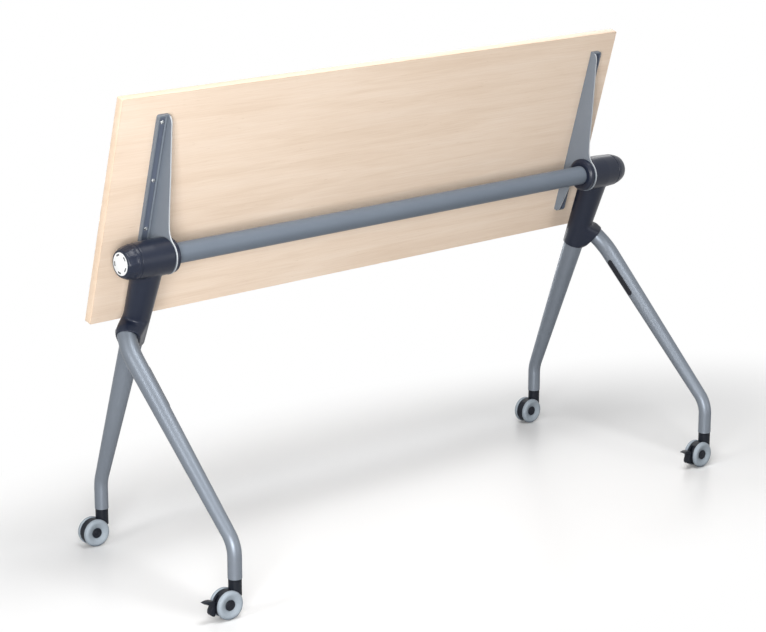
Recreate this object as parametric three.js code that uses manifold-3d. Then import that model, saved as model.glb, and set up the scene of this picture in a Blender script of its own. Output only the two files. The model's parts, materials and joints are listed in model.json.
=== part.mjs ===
// Flip top training table on four braked and free casters, with its top flipped up for storage.
// Millimetres, +Z up, floor at z = 0. The beam runs along X and the braked casters are on the -Y side.
import * as THREE from 'three';
import { ConvexGeometry } from 'three/addons/geometries/ConvexGeometry.js';
import { mergeVertices } from 'three/addons/utils/BufferGeometryUtils.js';
import Module from 'manifold-3d';

const wasm = await Module();
wasm.setup();

// Clearance between pieces that touch or run in one another
const gap = 0.3;

// How far a cut runs past the face it opens, and past the rim of a leg socket
const overshoot = 1;
const socketMouth = 40;

// Table top: it pivots about the beam and hangs further out on its front side
const topLength = 1400;
const topDepth = 490;
const topThickness = 18;
const topShift = -21;
const topRearReach = 167;
const stowedLean = 15.5;

// Beam between the two leg frames
const beamHeight = 647;
const beamRadius = 21.2;
const beamWall = 2.5;
const beamInsert = 30;
const beamToTop = 64;

// Leg frames: column and rear leg in one plane, front leg in a plane further out
const columnInset = 52;
const columnLean = 20.2;
const columnLength = 192;
const columnTopRadius = 32.5;
const columnFootRadius = 26;
const frontLegOffset = 47;
const frontLean = 45.4;
const frontBendHeight = 145;
const frontTopY = 10;
const frontTopDrop = 182;
const frontTopTurn = 20;
const rearBendHeight = 136;
const legFootHeight = 76.8;
const legFootRadius = 14.4;
const legWall = 2.2;
const rearTopRadius = 23.2;
const frontTopRadius = 20.4;
const rearBendRadius = 80;
const frontBendRadius = 60;
const frontTopBendRadius = 150;
const legInsert = 17;
const frontSocketWall = 2.8;
const frontSocketReach = 30;
const flareRise = 46;

// Housings at the beam's ends
const housingInnerReach = 38.4;
const housingOuterReach = 41.3;
const housingInnerRadius = 37.8;
const housingOuterRadius = 36.4;
const housingEdge = 1.6;
const housingCrown = 0.4;
const housingCrownShare = 0.55;

// Release knob and end cap
const knobLength = 29.7;
const knobFaceRadius = 26.2;
const knobWaistDrop = 1.6;
const knobWaistStart = 9;
const knobShoulderRise = 5.4;
const knobShoulderStart = 9.5;
const knobRimRise = 2.4;
const knobRimStart = 2.8;
const knobRimInset = 1;
const knobFluteCount = 12;
const knobFluteRadius = 3.2;
const knobFluteDepth = 0.9;
const knobFluteLength = 20;
const knobFluteSlope = 17;
const knobShaftRadius = 8;
const knobJournalRadius = 5;
const knobJournalLength = 7;
const faceDiscRadius = 23.4;
const faceDiscThickness = 1.2;
const capPlugRadius = 20;
const capPlugLength = 14;
const capDome = 2;
const capDomeShare = 0.6;
const capDomeRise = 1.6;

// Lock: a sprung pin in the left housing that the knob's face cam draws back
const cavityRadius = 27;
const cavityDepth = 39;
const pinRadius = 2.5;
const pinOrbit = 28.3;
const pinLength = 63;
const pinCollarRadius = 4.5;
const pinCollarStart = 5;
const pinCollarLength = 3;
const pinTravel = 6;
const fingerLength = 4;
const fingerWidth = 4;
const fingerTip = 10;
const camRadius = 20;
const camPlate = 4;
const camSweep = 60;
const camLead = 12;
const springSeat = 35;
const springWire = 0.6;
const springRadius = 3.7;
const springTurns = 6;

// Pivot bushes between the brackets and the beam
const bushWall = 1.6;
const bushFlangeRadius = 36.5;
const bushFlangeLength = 9;
const bushNoseRadius = 30.5;
const bushNoseLength = 4.5;

// Brackets under the top: a tall web with a ring round the beam, on a shallow screwed tray
const webThickness = 3;
const ringRadius = 38.4;
const bracketFrontSetback = 42;
const bracketRearReach = 118;
const trayWidth = 26;
const trayThickness = 3;
const trayLip = 9;
const webNoseDepth = 5;
const webNoseRound = 15;
const webEdge = [[0.918, 22], [0.765, 30.5], [0.527, 44], [0.192, 63]];
const webSweep = 4;
const ringStart = 200;
const ringEnd = 410;
const tailRise = 6;
const lockHoleClearance = 0.3;

// Bracket screws
const screwNoseInset = 16;
const screwMiddleReach = 139.5;
const screwRingReach = 33.5;
const screwHeadRadius = 4.6;
const screwHeadHeight = 2.6;
const screwHeadEdge = 1;
const screwHeadTop = 3.2;
const screwPoint = 2;
const screwShankRadius = 2.1;
const screwBite = 11;
const screwSocketRadius = 1.9;
const screwSocketDepth = 1.6;

// Bumper pads on the inner sides of the front legs
const bumperHeight = 399;
const bumperLength = 100;
const bumperWidth = 13;
const bumperThickness = 1.8;
const bumperSink = 1.4;

// Casters
const wheelRadius = 29.2;
const wheelTread = 3;
const wheelInnerFace = 8.8;
const wheelOuterFace = 18.4;
const wheelDish = 5.6;
const wheelShoulder = 1.6;
const wheelInnerChamfer = 2.4;
const wheelOuterRound = [[1.2, 2.4], [3.4, 0.5], [6.2, 0]];
const wheelDishSlope = 6;
const wheelDishDrop = 2.4;
const hubCapRadius = 10.8;
const hubCapHeight = 2.6;
const hubCapEdge = 1.2;
const axleRadius = 3;
const trail = 21;
const hoodRadius = 27.4;
const hoodHalfWidth = 8.4;
const wheelClearance = 0.8;
const neckRelief = 5;
const neckRadius = 13.4;
const neckFoot = 42;
const sleeveFlangeRadius = 13.6;
const sleeveFlangeThickness = 2.1;
const sleeveLength = 30;
const stemRadius = 5;
const stemFoot = 57;
const stemTop = 102;
const stemChamfer = 1.5;
const casterHeadings = { front_left: 4, front_right: 0, rear_left: 5, rear_right: 0 };

// Brake pedals on the front casters
const pedalPivotBack = 22;
const pedalPivotRise = 2;
const pedalPinRadius = 2.4;
const pedalHubRadius = 5;
const pedalSlotHalfWidth = 3.2;
const pedalHalfWidth = 7;

// Facets of round pieces
const tubeSides = 16;
const barrelSides = 28;
const wheelSides = 20;
const smallSides = 10;
const camSides = 48;

// Finishes
const maple = { color: 0xe6d2b6, roughness: 0.55, metalness: 0 };
const greyPaint = { color: 0x868e98, roughness: 0.4, metalness: 0.6 };
const silverPaint = { color: 0x9aa2ac, roughness: 0.38, metalness: 0.65 };
const darkPlastic = { color: 0x232833, roughness: 0.42, metalness: 0 };
const blackPlastic = { color: 0x17191e, roughness: 0.5, metalness: 0 };
const whitePlastic = { color: 0xf2f2f0, roughness: 0.35, metalness: 0 };
const softGrey = { color: 0xb4bec3, roughness: 0.6, metalness: 0 };
const blackRubber = { color: 0x16171a, roughness: 0.8, metalness: 0 };
const zincSteel = { color: 0xb9bcc0, roughness: 0.3, metalness: 0.9 };

const rad = THREE.MathUtils.degToRad;
const swing = 90 - stowedLean;

// Places that follow from the sizes above
const columnX = topLength / 2 - columnInset;
const frontLegX = columnX + frontLegOffset;
const housingInnerX = columnX - housingInnerReach;
const housingOuterX = columnX + housingOuterReach;
const webOuterX = housingInnerX - 2 * gap;
const webInnerX = webOuterX - webThickness;
const knobReach = housingOuterX + knobLength;
const topFrontReach = topDepth - topRearReach;
const bracketFrontReach = topFrontReach - bracketFrontSetback;
const screwFrontReaches = [bracketFrontReach - screwNoseInset, screwMiddleReach, screwRingReach];
const frontTopHeight = beamHeight - frontTopDrop;
const frontFootY = frontTopY - (frontTopHeight - frontBendHeight) * Math.tan(rad(frontLean));
const rearFootY = (beamHeight - rearBendHeight) * Math.tan(rad(columnLean));

const table = new THREE.Group();

// Solids from three.js geometry, with shared corners merged and slivers left out
function solidOf(geometry) {
  const bare = geometry.clone();
  bare.deleteAttribute('normal');
  bare.deleteAttribute('uv');
  const merged = mergeVertices(bare, 1e-4);
  const corners = merged.getIndex().array;
  const triVerts = [];
  for (let i = 0; i < corners.length; i += 3) {
    const [a, b, c] = [corners[i], corners[i + 1], corners[i + 2]];
    if (a !== b && b !== c && c !== a) triVerts.push(a, b, c);
  }
  const vertProperties = new Float32Array(merged.getAttribute('position').array);
  const mesh = new wasm.Mesh({ numProp: 3, vertProperties, triVerts: new Uint32Array(triVerts) });
  return new wasm.Manifold(mesh);
}

function geometryOf(solid) {
  const mesh = solid.getMesh();
  const geometry = new THREE.BufferGeometry();
  geometry.setAttribute('position', new THREE.BufferAttribute(new Float32Array(mesh.vertProperties), 3));
  geometry.setIndex(new THREE.BufferAttribute(new Uint32Array(mesh.triVerts), 1));
  geometry.computeVertexNormals();
  return geometry;
}

function joined(first, ...others) {
  return geometryOf(others.reduce((whole, one) => whole.add(solidOf(one)), solidOf(first)));
}

function without(first, ...cuts) {
  return geometryOf(cuts.reduce((whole, one) => whole.subtract(solidOf(one)), solidOf(first)));
}

function place(group, name, geometry, finish) {
  const mesh = new THREE.Mesh(geometryOf(solidOf(geometry)), new THREE.MeshStandardMaterial(finish));
  mesh.name = name;
  group.add(mesh);
  return mesh;
}

// A turned piece: the profile lists [radius, distance along the axis] from the low end to the high end
function turned(profile, sides, start = 0) {
  const points = profile.map(([radius, along]) => new THREE.Vector2(radius, along));
  return new THREE.LatheGeometry(points, sides, start);
}

function turnedAlongX(profile, sides, side = 1) {
  return turned(profile, sides).rotateZ(-side * Math.PI / 2);
}

function turnedAlongZ(profile, sides) {
  return turned(profile, sides).rotateX(Math.PI / 2);
}

function rodAlongX(radius, from, to, sides) {
  const rod = new THREE.CylinderGeometry(radius, radius, Math.abs(to - from), sides);
  return rod.rotateZ(Math.PI / 2).translate((from + to) / 2, 0, 0);
}

function rodAlongY(radius, from, to, sides) {
  return new THREE.CylinderGeometry(radius, radius, to - from, sides).translate(0, (from + to) / 2, 0);
}

function rodAlongZ(radius, from, to, sides) {
  const rod = new THREE.CylinderGeometry(radius, radius, to - from, sides);
  return rod.rotateX(Math.PI / 2).translate(0, 0, (from + to) / 2);
}

function block(low, high) {
  const size = high.map((value, i) => value - low[i]);
  const middle = high.map((value, i) => (value + low[i]) / 2);
  return new THREE.BoxGeometry(...size).translate(...middle);
}

// An outline drawn in the YZ plane, from x = from to x = to
function plateAlongX(shape, from, to, curveSegments) {
  const depth = Math.abs(to - from);
  const plate = new THREE.ExtrudeGeometry(shape, { depth, bevelEnabled: false, curveSegments });
  const turn = new THREE.Matrix4().makeBasis(
    new THREE.Vector3(0, 1, 0), new THREE.Vector3(0, 0, 1), new THREE.Vector3(1, 0, 0));
  return plate.applyMatrix4(turn).translate(Math.min(from, to), 0, 0);
}

// An outline drawn in the XZ plane, evenly about y = 0
function plateAboutY(shape, halfWidth, curveSegments) {
  const settings = { depth: 2 * halfWidth, bevelEnabled: false, curveSegments };
  return new THREE.ExtrudeGeometry(shape, settings).rotateX(Math.PI / 2).translate(0, halfWidth, 0);
}

// Centre line through the given corners, each inner corner rounded to its bend radius
function bentPath(corners, bendRadii, bendSteps) {
  const points = [corners[0]];
  corners.slice(1, -1).forEach((corner, i) => {
    const before = corners[i].clone().sub(corner).normalize();
    const after = corners[i + 2].clone().sub(corner).normalize();
    const half = before.angleTo(after) / 2;
    const reach = bendRadii[i] / Math.tan(half);
    const start = corner.clone().addScaledVector(before, reach);
    const end = corner.clone().addScaledVector(after, reach);
    points.push(...new THREE.QuadraticBezierCurve3(start, corner, end).getPoints(bendSteps));
  });
  points.push(corners[corners.length - 1]);
  return points;
}

// Radii that stay at the foot size through the foot bend and then grow evenly to the top
function taperedRadii(points, bendSteps, footRadius, topRadius) {
  const taperStart = 1 + bendSteps;
  const run = [0];
  points.slice(1).forEach((point, i) => run.push(run[i] + point.distanceTo(points[i])));
  const span = run[run.length - 1] - run[taperStart];
  return run.map((along) => {
    const share = Math.max(0, along - run[taperStart]) / span;
    return footRadius + (topRadius - footRadius) * share;
  });
}

// A round tube with a bore along a centre line, open at both ends
function hollowTube(points, radii, wall, sides) {
  const tangents = points.map((point, i) => {
    const before = points[Math.max(0, i - 1)];
    const after = points[Math.min(points.length - 1, i + 1)];
    return after.clone().sub(before).normalize();
  });
  const across = new THREE.Vector3(1, 0, 0);
  const position = [];
  const ringsOf = (shrink) => points.forEach((point, i) => {
    if (i === 0) across.set(1, 0, 0);
    else across.applyQuaternion(new THREE.Quaternion().setFromUnitVectors(tangents[i - 1], tangents[i]));
    const other = new THREE.Vector3().crossVectors(tangents[i], across);
    for (let j = 0; j < sides; j += 1) {
      const angle = 2 * Math.PI * j / sides;
      const spoke = across.clone().multiplyScalar(Math.cos(angle)).addScaledVector(other, Math.sin(angle));
      position.push(...point.clone().addScaledVector(spoke, radii[i] - shrink).toArray());
    }
  });
  ringsOf(0);
  ringsOf(wall);
  const inner = points.length * sides;
  const last = (points.length - 1) * sides;
  const index = [];
  const quad = (a, b, c, d) => index.push(a, b, c, a, c, d);
  for (let j = 0; j < sides; j += 1) {
    const k = (j + 1) % sides;
    for (let low = 0; low < last; low += sides) {
      quad(low + j, low + k, low + sides + k, low + sides + j);
      quad(inner + low + k, inner + low + j, inner + low + sides + j, inner + low + sides + k);
    }
    quad(inner + j, inner + k, k, j);
    quad(last + j, last + k, inner + last + k, inner + last + j);
  }
  const geometry = new THREE.BufferGeometry();
  geometry.setAttribute('position', new THREE.Float32BufferAttribute(position, 3));
  geometry.setIndex(index);
  return geometry;
}

// A turned cone frustum from one point to another
function cone(from, to, fromRadius, toRadius, sides) {
  const axis = to.clone().sub(from);
  const frustum = new THREE.CylinderGeometry(toRadius, fromRadius, axis.length(), sides);
  const turn = new THREE.Quaternion().setFromUnitVectors(new THREE.Vector3(0, 1, 0), axis.normalize());
  return frustum.applyQuaternion(turn).translate(...from.clone().add(to).multiplyScalar(0.5).toArray());
}

function circleOf(centre, normal, radius, count) {
  const turn = new THREE.Quaternion().setFromUnitVectors(new THREE.Vector3(0, 0, 1), normal);
  return Array.from({ length: count }, (unused, i) => {
    const angle = 2 * Math.PI * i / count;
    const spoke = new THREE.Vector3(Math.cos(angle), Math.sin(angle), 0).multiplyScalar(radius);
    return spoke.applyQuaternion(turn).add(centre);
  });
}

// Lines that the frames share, for the right side; side = -1 mirrors them
const columnDown = new THREE.Vector3(0, Math.sin(rad(columnLean)), -Math.cos(rad(columnLean)));
const beamEnd = housingInnerX + beamInsert;

function columnPoint(side, along) {
  return new THREE.Vector3(side * columnX, 0, beamHeight).addScaledVector(columnDown, along);
}

function frontLegCorners(side) {
  const up = new THREE.Vector3(0, Math.sin(rad(frontLean)), Math.cos(rad(frontLean)));
  const foot = new THREE.Vector3(side * frontLegX, frontFootY, legFootHeight);
  const footCorner = new THREE.Vector3(side * frontLegX, frontFootY, frontBendHeight);
  const rise = (frontTopHeight - frontBendHeight) / up.z;
  const topCorner = footCorner.clone().addScaledVector(up, rise);
  const inward = up.multiplyScalar(Math.cos(rad(frontTopTurn)));
  inward.x = -side * Math.sin(rad(frontTopTurn));
  const rim = topCorner.clone().addScaledVector(inward, frontSocketReach);
  const end = rim.clone().addScaledVector(inward, legInsert);
  return { path: [foot, footCorner, topCorner, end], inward, rim, end };
}

function rearLegCorners(side) {
  const foot = new THREE.Vector3(side * columnX, rearFootY, legFootHeight);
  const footCorner = new THREE.Vector3(side * columnX, rearFootY, rearBendHeight);
  return [foot, footCorner, columnPoint(side, columnLength - legInsert)];
}

// Table top
const topGroup = new THREE.Group();
topGroup.position.z = beamHeight;
topGroup.rotation.x = -rad(swing);
table.add(topGroup);

const screwX = webOuterX + (trayWidth - webThickness - trayThickness) / 2;
const sides = { left: -1, right: 1 };
const trayFace = beamToTop - gap;
const screwSeat = trayFace - trayThickness;

function screwPlaces() {
  return Object.entries(sides).flatMap(([sideName, side]) =>
    screwFrontReaches.map((reach, i) => ({ sideName, number: i + 1, x: side * screwX, y: -reach })));
}

function tableTop() {
  const board = block(
    [topShift - topLength / 2, -topFrontReach, beamToTop],
    [topShift + topLength / 2, topRearReach, beamToTop + topThickness]);
  const holeEnd = beamToTop + screwBite + gap;
  const holes = screwPlaces().map(({ x, y }) =>
    rodAlongZ(screwShankRadius + gap, beamToTop - overshoot, holeEnd, smallSides).translate(x, y, 0));
  return without(board, ...holes);
}
place(topGroup, 'table_top', tableTop(), maple);

// Brackets, drawn in the working position: y runs to the rear, z up to the top's underside
function webOutline() {
  const outline = new THREE.Shape();
  const frontNose = -bracketFrontReach;
  const [nose, upper, middle, lower] = webEdge.map(([share, depth]) => [share * frontNose, trayFace - depth]);
  const ringTouch = [ringRadius * Math.cos(rad(ringStart)), ringRadius * Math.sin(rad(ringStart))];
  outline.moveTo(frontNose, trayFace);
  outline.lineTo(frontNose, trayFace - webNoseDepth);
  outline.quadraticCurveTo(frontNose, nose[1] + webNoseRound / 6, ...nose);
  outline.lineTo(...upper);
  outline.lineTo(...middle);
  outline.quadraticCurveTo(lower[0] - 4 * webSweep, lower[1] + 1.5 * webSweep, ...lower);
  outline.quadraticCurveTo(lower[0] + 2.5 * webSweep, lower[1] - webSweep, ...ringTouch);
  outline.absarc(0, 0, ringRadius, rad(ringStart), rad(ringEnd), false);
  outline.lineTo(bracketRearReach - tailRise, trayFace - trayLip - tailRise);
  outline.lineTo(bracketRearReach, trayFace - trayLip);
  outline.lineTo(bracketRearReach, trayFace);
  outline.closePath();
  const bore = new THREE.Path();
  bore.absarc(0, 0, beamRadius + 2 * gap + bushWall, 0, 2 * Math.PI, true);
  const lockHole = new THREE.Path();
  lockHole.absarc(0, pinOrbit, pinRadius + lockHoleClearance, 0, 2 * Math.PI, true);
  outline.holes.push(bore, lockHole);
  return outline;
}

function bracket(side) {
  const alongX = (from, to) => [Math.min(side * from, side * to), Math.max(side * from, side * to)];
  const bar = (fromX, toX, fromY, toY, fromZ, toZ) => {
    const [low, high] = alongX(fromX, toX);
    return block([low, fromY, fromZ], [high, toY, toZ]);
  };
  const trayOuterX = webInnerX + trayWidth;
  const lipFoot = trayFace - trayLip;
  const [front, rear] = [-bracketFrontReach, bracketRearReach];
  const web = plateAlongX(webOutline(), side * webInnerX, side * webOuterX, 12);
  const tray = bar(webInnerX, trayOuterX, front, rear, screwSeat, trayFace);
  const outerLip = bar(trayOuterX - trayThickness, trayOuterX, front, rear, lipFoot, trayFace);
  const frontLip = bar(webInnerX, trayOuterX, front, front + trayThickness, lipFoot, trayFace);
  const rearLip = bar(webInnerX, trayOuterX, rear - trayThickness, rear, lipFoot, trayFace);
  const [holeFoot, holeTop] = [screwSeat - overshoot, trayFace + overshoot];
  const holes = screwPlaces().map(({ x, y }) =>
    rodAlongZ(screwShankRadius + gap, holeFoot, holeTop, smallSides).translate(x, y, 0));
  return without(joined(web, tray, outerLip, frontLip, rearLip), ...holes);
}

function bracketScrew() {
  const headTop = screwSeat - gap;
  const headFoot = headTop - screwHeadHeight;
  const tip = beamToTop + screwBite;
  const body = turnedAlongZ([
    [0, headFoot], [screwHeadTop, headFoot], [screwHeadRadius, headFoot + screwHeadEdge],
    [screwHeadRadius, headTop], [screwShankRadius, headTop], [screwShankRadius, tip - screwPoint],
    [0, tip]], smallSides);
  return without(body, rodAlongZ(screwSocketRadius, headFoot - overshoot, headFoot + screwSocketDepth, 6));
}

Object.entries(sides).forEach(([sideName, side]) => {
  place(topGroup, `bracket_${sideName}`, bracket(side), greyPaint);
});
screwPlaces().forEach(({ sideName, number, x, y }) => {
  const screw = place(topGroup, `bracket_screw_${sideName}_${number}`, bracketScrew(), zincSteel);
  screw.position.set(x, y, 0);
});

// Pivot bushes: a sleeve through the bracket's ring and a collar on its inner side
function pivotBush(side) {
  const boreRadius = beamRadius + gap;
  const sleeveRadius = boreRadius + bushWall;
  const collarStart = -webInnerX + gap;
  const collarEnd = collarStart + bushFlangeLength;
  const noseEnd = collarEnd + bushNoseLength;
  return turnedAlongX([
    [boreRadius, -webOuterX], [sleeveRadius, -webOuterX], [sleeveRadius, collarStart],
    [bushFlangeRadius, collarStart], [bushFlangeRadius, collarEnd], [bushNoseRadius, noseEnd],
    [boreRadius, noseEnd], [boreRadius, -webOuterX]], barrelSides, -side);
}
Object.entries(sides).forEach(([sideName, side]) => {
  place(topGroup, `pivot_bush_${sideName}`, pivotBush(side), darkPlastic);
});

// Beam
const beamGroup = new THREE.Group();
beamGroup.position.z = beamHeight;
table.add(beamGroup);

const beamBore = rodAlongX(beamRadius - beamWall, -beamEnd - overshoot, beamEnd + overshoot, barrelSides);
const beamBody = rodAlongX(beamRadius, -beamEnd, beamEnd, barrelSides);
place(beamGroup, 'beam_tube', without(beamBody, beamBore), greyPaint);

// Housings: barrel, column and the flare that holds the front leg
function housingBarrel(side) {
  const [inner, outer] = [housingInnerX, housingOuterX];
  const crownX = inner + (outer - inner) * housingCrownShare;
  const barrel = turnedAlongX([
    [0, inner], [housingInnerRadius - housingEdge, inner], [housingInnerRadius, inner + housingEdge],
    [housingInnerRadius + housingCrown, crownX], [housingOuterRadius, outer - housingEdge / 2],
    [housingOuterRadius - housingEdge / 2, outer], [0, outer]], barrelSides, side);
  return barrel.translate(0, 0, beamHeight);
}

function housing(side) {
  const front = frontLegCorners(side);
  const columnFoot = columnPoint(side, columnLength);
  const column = cone(columnPoint(side, 0), columnFoot, columnTopRadius, columnFootRadius, tubeSides * 2);
  const flareAlong = columnLength - flareRise;
  const columnRadiusAt = (along) =>
    columnTopRadius + (columnFootRadius - columnTopRadius) * along / columnLength;
  const socketRadius = frontTopRadius + gap + frontSocketWall;
  const socketFloor = front.end.clone().addScaledVector(front.inward, gap + frontSocketWall);
  const flare = new ConvexGeometry([
    ...circleOf(front.rim, front.inward, socketRadius, tubeSides * 2),
    ...circleOf(socketFloor, front.inward, socketRadius, tubeSides * 2),
    ...circleOf(columnPoint(side, flareAlong), columnDown, columnRadiusAt(flareAlong) - gap, tubeSides * 2),
    ...circleOf(columnPoint(side, columnLength - gap), columnDown, columnFootRadius - gap, tubeSides * 2)]);
  const rearSocket = cone(
    columnPoint(side, columnLength + socketMouth), columnPoint(side, columnLength - legInsert - gap),
    rearTopRadius + gap, rearTopRadius + gap, tubeSides * 2);
  const frontSocket = cone(
    front.rim.clone().addScaledVector(front.inward, -socketMouth),
    front.end.clone().addScaledVector(front.inward, gap),
    frontTopRadius + gap, frontTopRadius + gap, tubeSides * 2);
  const [socketStart, socketEnd] = [side * (housingInnerX - overshoot), side * (beamEnd + gap)];
  const beamSocket = rodAlongX(beamRadius + gap, socketStart, socketEnd, barrelSides);
  beamSocket.translate(0, 0, beamHeight);
  return without(joined(housingBarrel(side), column, flare), rearSocket, frontSocket, beamSocket);
}

// Places along the lock's line, measured outwards from the left housing's inner face
const pinTip = housingInnerX - gap;
const fingerInner = pinTip + pinLength;
const cavityFloor = housingOuterX - cavityDepth;

function leftHousing() {
  const pinHole = (radius, from, to) =>
    rodAlongX(radius, -from, -to, smallSides).translate(0, 0, beamHeight + pinOrbit);
  const pinHoleEnd = fingerInner + fingerLength + pinTravel + 2 * gap;
  const cavity = rodAlongX(cavityRadius, -cavityFloor, -housingOuterX - overshoot, barrelSides);
  const journal = rodAlongX(
    knobJournalRadius + gap, -cavityFloor - overshoot, -cavityFloor + knobJournalLength + gap, barrelSides);
  return without(
    housing(-1), cavity.translate(0, 0, beamHeight), journal.translate(0, 0, beamHeight),
    pinHole(pinCollarRadius + 2 * gap, housingInnerX - overshoot, housingInnerX + springSeat),
    pinHole(pinRadius + gap, housingInnerX - overshoot, pinHoleEnd));
}

function rightHousing() {
  const seatFloor = housingOuterX - capPlugLength - gap;
  const seat = rodAlongX(capPlugRadius + gap, seatFloor, housingOuterX + overshoot, barrelSides);
  return without(housing(1), seat.translate(0, 0, beamHeight));
}
place(table, 'housing_left', leftHousing(), darkPlastic);
place(table, 'housing_right', rightHousing(), darkPlastic);

// Outer shape that the knob and the end cap share, from the housing's end to the flat face
function gripProfile() {
  const start = housingOuterX + gap;
  return [
    [housingOuterRadius - housingEdge / 2, start], [housingOuterRadius, start + housingEdge / 2],
    [housingOuterRadius - knobWaistDrop, start + knobWaistStart],
    [knobFaceRadius + knobShoulderRise, knobReach - knobShoulderStart],
    [knobFaceRadius + knobRimRise, knobReach - knobRimStart], [knobFaceRadius - knobRimInset, knobReach]];
}

// The face cam rises through its sweep and lies behind the pin's finger
function faceCam() {
  const low = -fingerInner + gap;
  const high = low - pinTravel;
  const cam = turnedAlongX([[0, high], [knobJournalRadius, high], [camRadius, high],
    [camRadius, low + camPlate], [0, low + camPlate]], camSides);
  const position = cam.getAttribute('position');
  for (let i = 0; i < position.count; i += 1) {
    const [x, y, z] = [position.getX(i), position.getY(i), position.getZ(i)];
    if (x > low || Math.hypot(y, z) < knobJournalRadius / 2) continue;
    const fromFinger = 90 - THREE.MathUtils.radToDeg(Math.atan2(z, y));
    const ahead = THREE.MathUtils.euclideanModulo(fromFinger, 360);
    const share = ahead > 360 - camSweep ? 0 : THREE.MathUtils.clamp((ahead - camLead) / camSweep, 0, 1);
    position.setX(i, THREE.MathUtils.lerp(low, high, share));
  }
  return cam;
}

function releaseKnob() {
  const start = housingOuterX + gap;
  const floor = knobReach - faceDiscThickness - gap;
  const grip = turnedAlongX([[0, start], ...gripProfile(), [faceDiscRadius + gap, knobReach],
    [faceDiscRadius + gap, floor], [0, floor]], barrelSides, -1);
  const flutes = Array.from({ length: knobFluteCount }, (unused, i) => {
    const flute = rodAlongX(knobFluteRadius, knobFluteLength / 2, -knobFluteLength / 2, 8);
    const seat = knobFaceRadius + knobShoulderRise + knobFluteRadius - knobFluteDepth;
    flute.rotateY(-rad(knobFluteSlope)).translate(-knobReach + knobFluteLength / 2, 0, seat);
    return flute.rotateX(2 * Math.PI * (i + 0.5) / knobFluteCount);
  });
  const shaftFoot = -cavityFloor - gap - overshoot;
  const shaft = rodAlongX(knobShaftRadius, shaftFoot, -start - overshoot, smallSides * 2);
  const journalEnd = -cavityFloor + knobJournalLength;
  const journal = rodAlongX(knobJournalRadius, journalEnd, shaftFoot - overshoot, smallSides * 2);
  return joined(without(grip, ...flutes), shaft, journal, faceCam());
}
place(beamGroup, 'release_knob', releaseKnob(), darkPlastic);

function faceDisc() {
  const back = knobReach - faceDiscThickness;
  return turnedAlongX([[0, back], [faceDiscRadius, back], [faceDiscRadius, knobReach], [0, knobReach]],
    barrelSides, -1);
}
place(beamGroup, 'knob_face', faceDisc(), whitePlastic);

function endCap() {
  const plugEnd = housingOuterX - capPlugLength;
  return turnedAlongX([[0, plugEnd], [capPlugRadius, plugEnd], [capPlugRadius, housingOuterX + gap],
    ...gripProfile(), [knobFaceRadius * capDomeShare, knobReach + capDomeRise],
    [0, knobReach + capDome]], barrelSides);
}
place(beamGroup, 'end_cap', endCap(), darkPlastic);

// Lock pin with its collar and the finger that the cam moves
function lockPin() {
  const collarStart = pinTip + pinCollarStart;
  const collarEnd = collarStart + pinCollarLength;
  const pinEnd = fingerInner + fingerLength;
  const pin = turnedAlongX([[0, pinTip], [pinRadius, pinTip], [pinRadius, collarStart],
    [pinCollarRadius, collarStart], [pinCollarRadius, collarEnd], [pinRadius, collarEnd],
    [pinRadius, pinEnd], [0, pinEnd]], smallSides, -1).translate(0, 0, pinOrbit);
  const finger = block([-pinEnd, -fingerWidth / 2, fingerTip], [-fingerInner, fingerWidth / 2, pinOrbit]);
  return joined(pin, finger);
}
place(beamGroup, 'lock_pin', lockPin(), zincSteel);

// Lock spring, between the pin's collar and the end of its bore
class Helix extends THREE.Curve {
  constructor(radius, from, to, turns) {
    super();
    Object.assign(this, { radius, from, to, turns });
  }

  getPoint(share, target = new THREE.Vector3()) {
    const angle = 2 * Math.PI * this.turns * share;
    const along = this.from + (this.to - this.from) * share;
    return target.set(along, this.radius * Math.cos(angle), this.radius * Math.sin(angle));
  }
}

function lockSpring() {
  const from = -(pinTip + pinCollarStart + pinCollarLength + gap + springWire);
  const to = -(housingInnerX + springSeat - gap - springWire);
  const wire = new THREE.Shape().absarc(0, 0, springWire, 0, 2 * Math.PI, false);
  const extrudePath = new Helix(springRadius, from, to, springTurns);
  const coil = new THREE.ExtrudeGeometry(wire, { steps: springTurns * 8, curveSegments: 3, extrudePath });
  return coil.translate(0, 0, pinOrbit);
}
place(beamGroup, 'lock_spring', lockSpring(), zincSteel);

// Legs: tapered bent tubes, with a let-in bumper pad on the front ones
const bendSteps = 6;

function rearLeg(side) {
  const points = bentPath(rearLegCorners(side), [rearBendRadius], bendSteps);
  const radii = taperedRadii(points, bendSteps, legFootRadius, rearTopRadius);
  return hollowTube(points, radii, legWall, tubeSides);
}

function frontLegTube(side) {
  const points = bentPath(frontLegCorners(side).path, [frontBendRadius, frontTopBendRadius], bendSteps);
  const radii = taperedRadii(points, bendSteps, legFootRadius, frontTopRadius);
  return { points, radii, tube: hollowTube(points, radii, legWall, tubeSides) };
}

// Frame of a bumper: x along the leg's inner surface, z out of it
function bumperFrame(side) {
  const { points, radii } = frontLegTube(side);
  const [low, high] = [bendSteps + 1, bendSteps + 2];
  const inward = new THREE.Vector3(-side, 0, 0);
  const surface = (i) => points[i].clone().addScaledVector(inward, radii[i]);
  const [foot, top] = [surface(low), surface(high)];
  const share = (bumperHeight - foot.z) / (top.z - foot.z);
  const along = top.clone().sub(foot).normalize();
  const out = inward.addScaledVector(along, -inward.dot(along)).normalize();
  const across = new THREE.Vector3().crossVectors(out, along);
  return new THREE.Matrix4().makeBasis(along, across, out).setPosition(foot.lerp(top, share));
}

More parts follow.
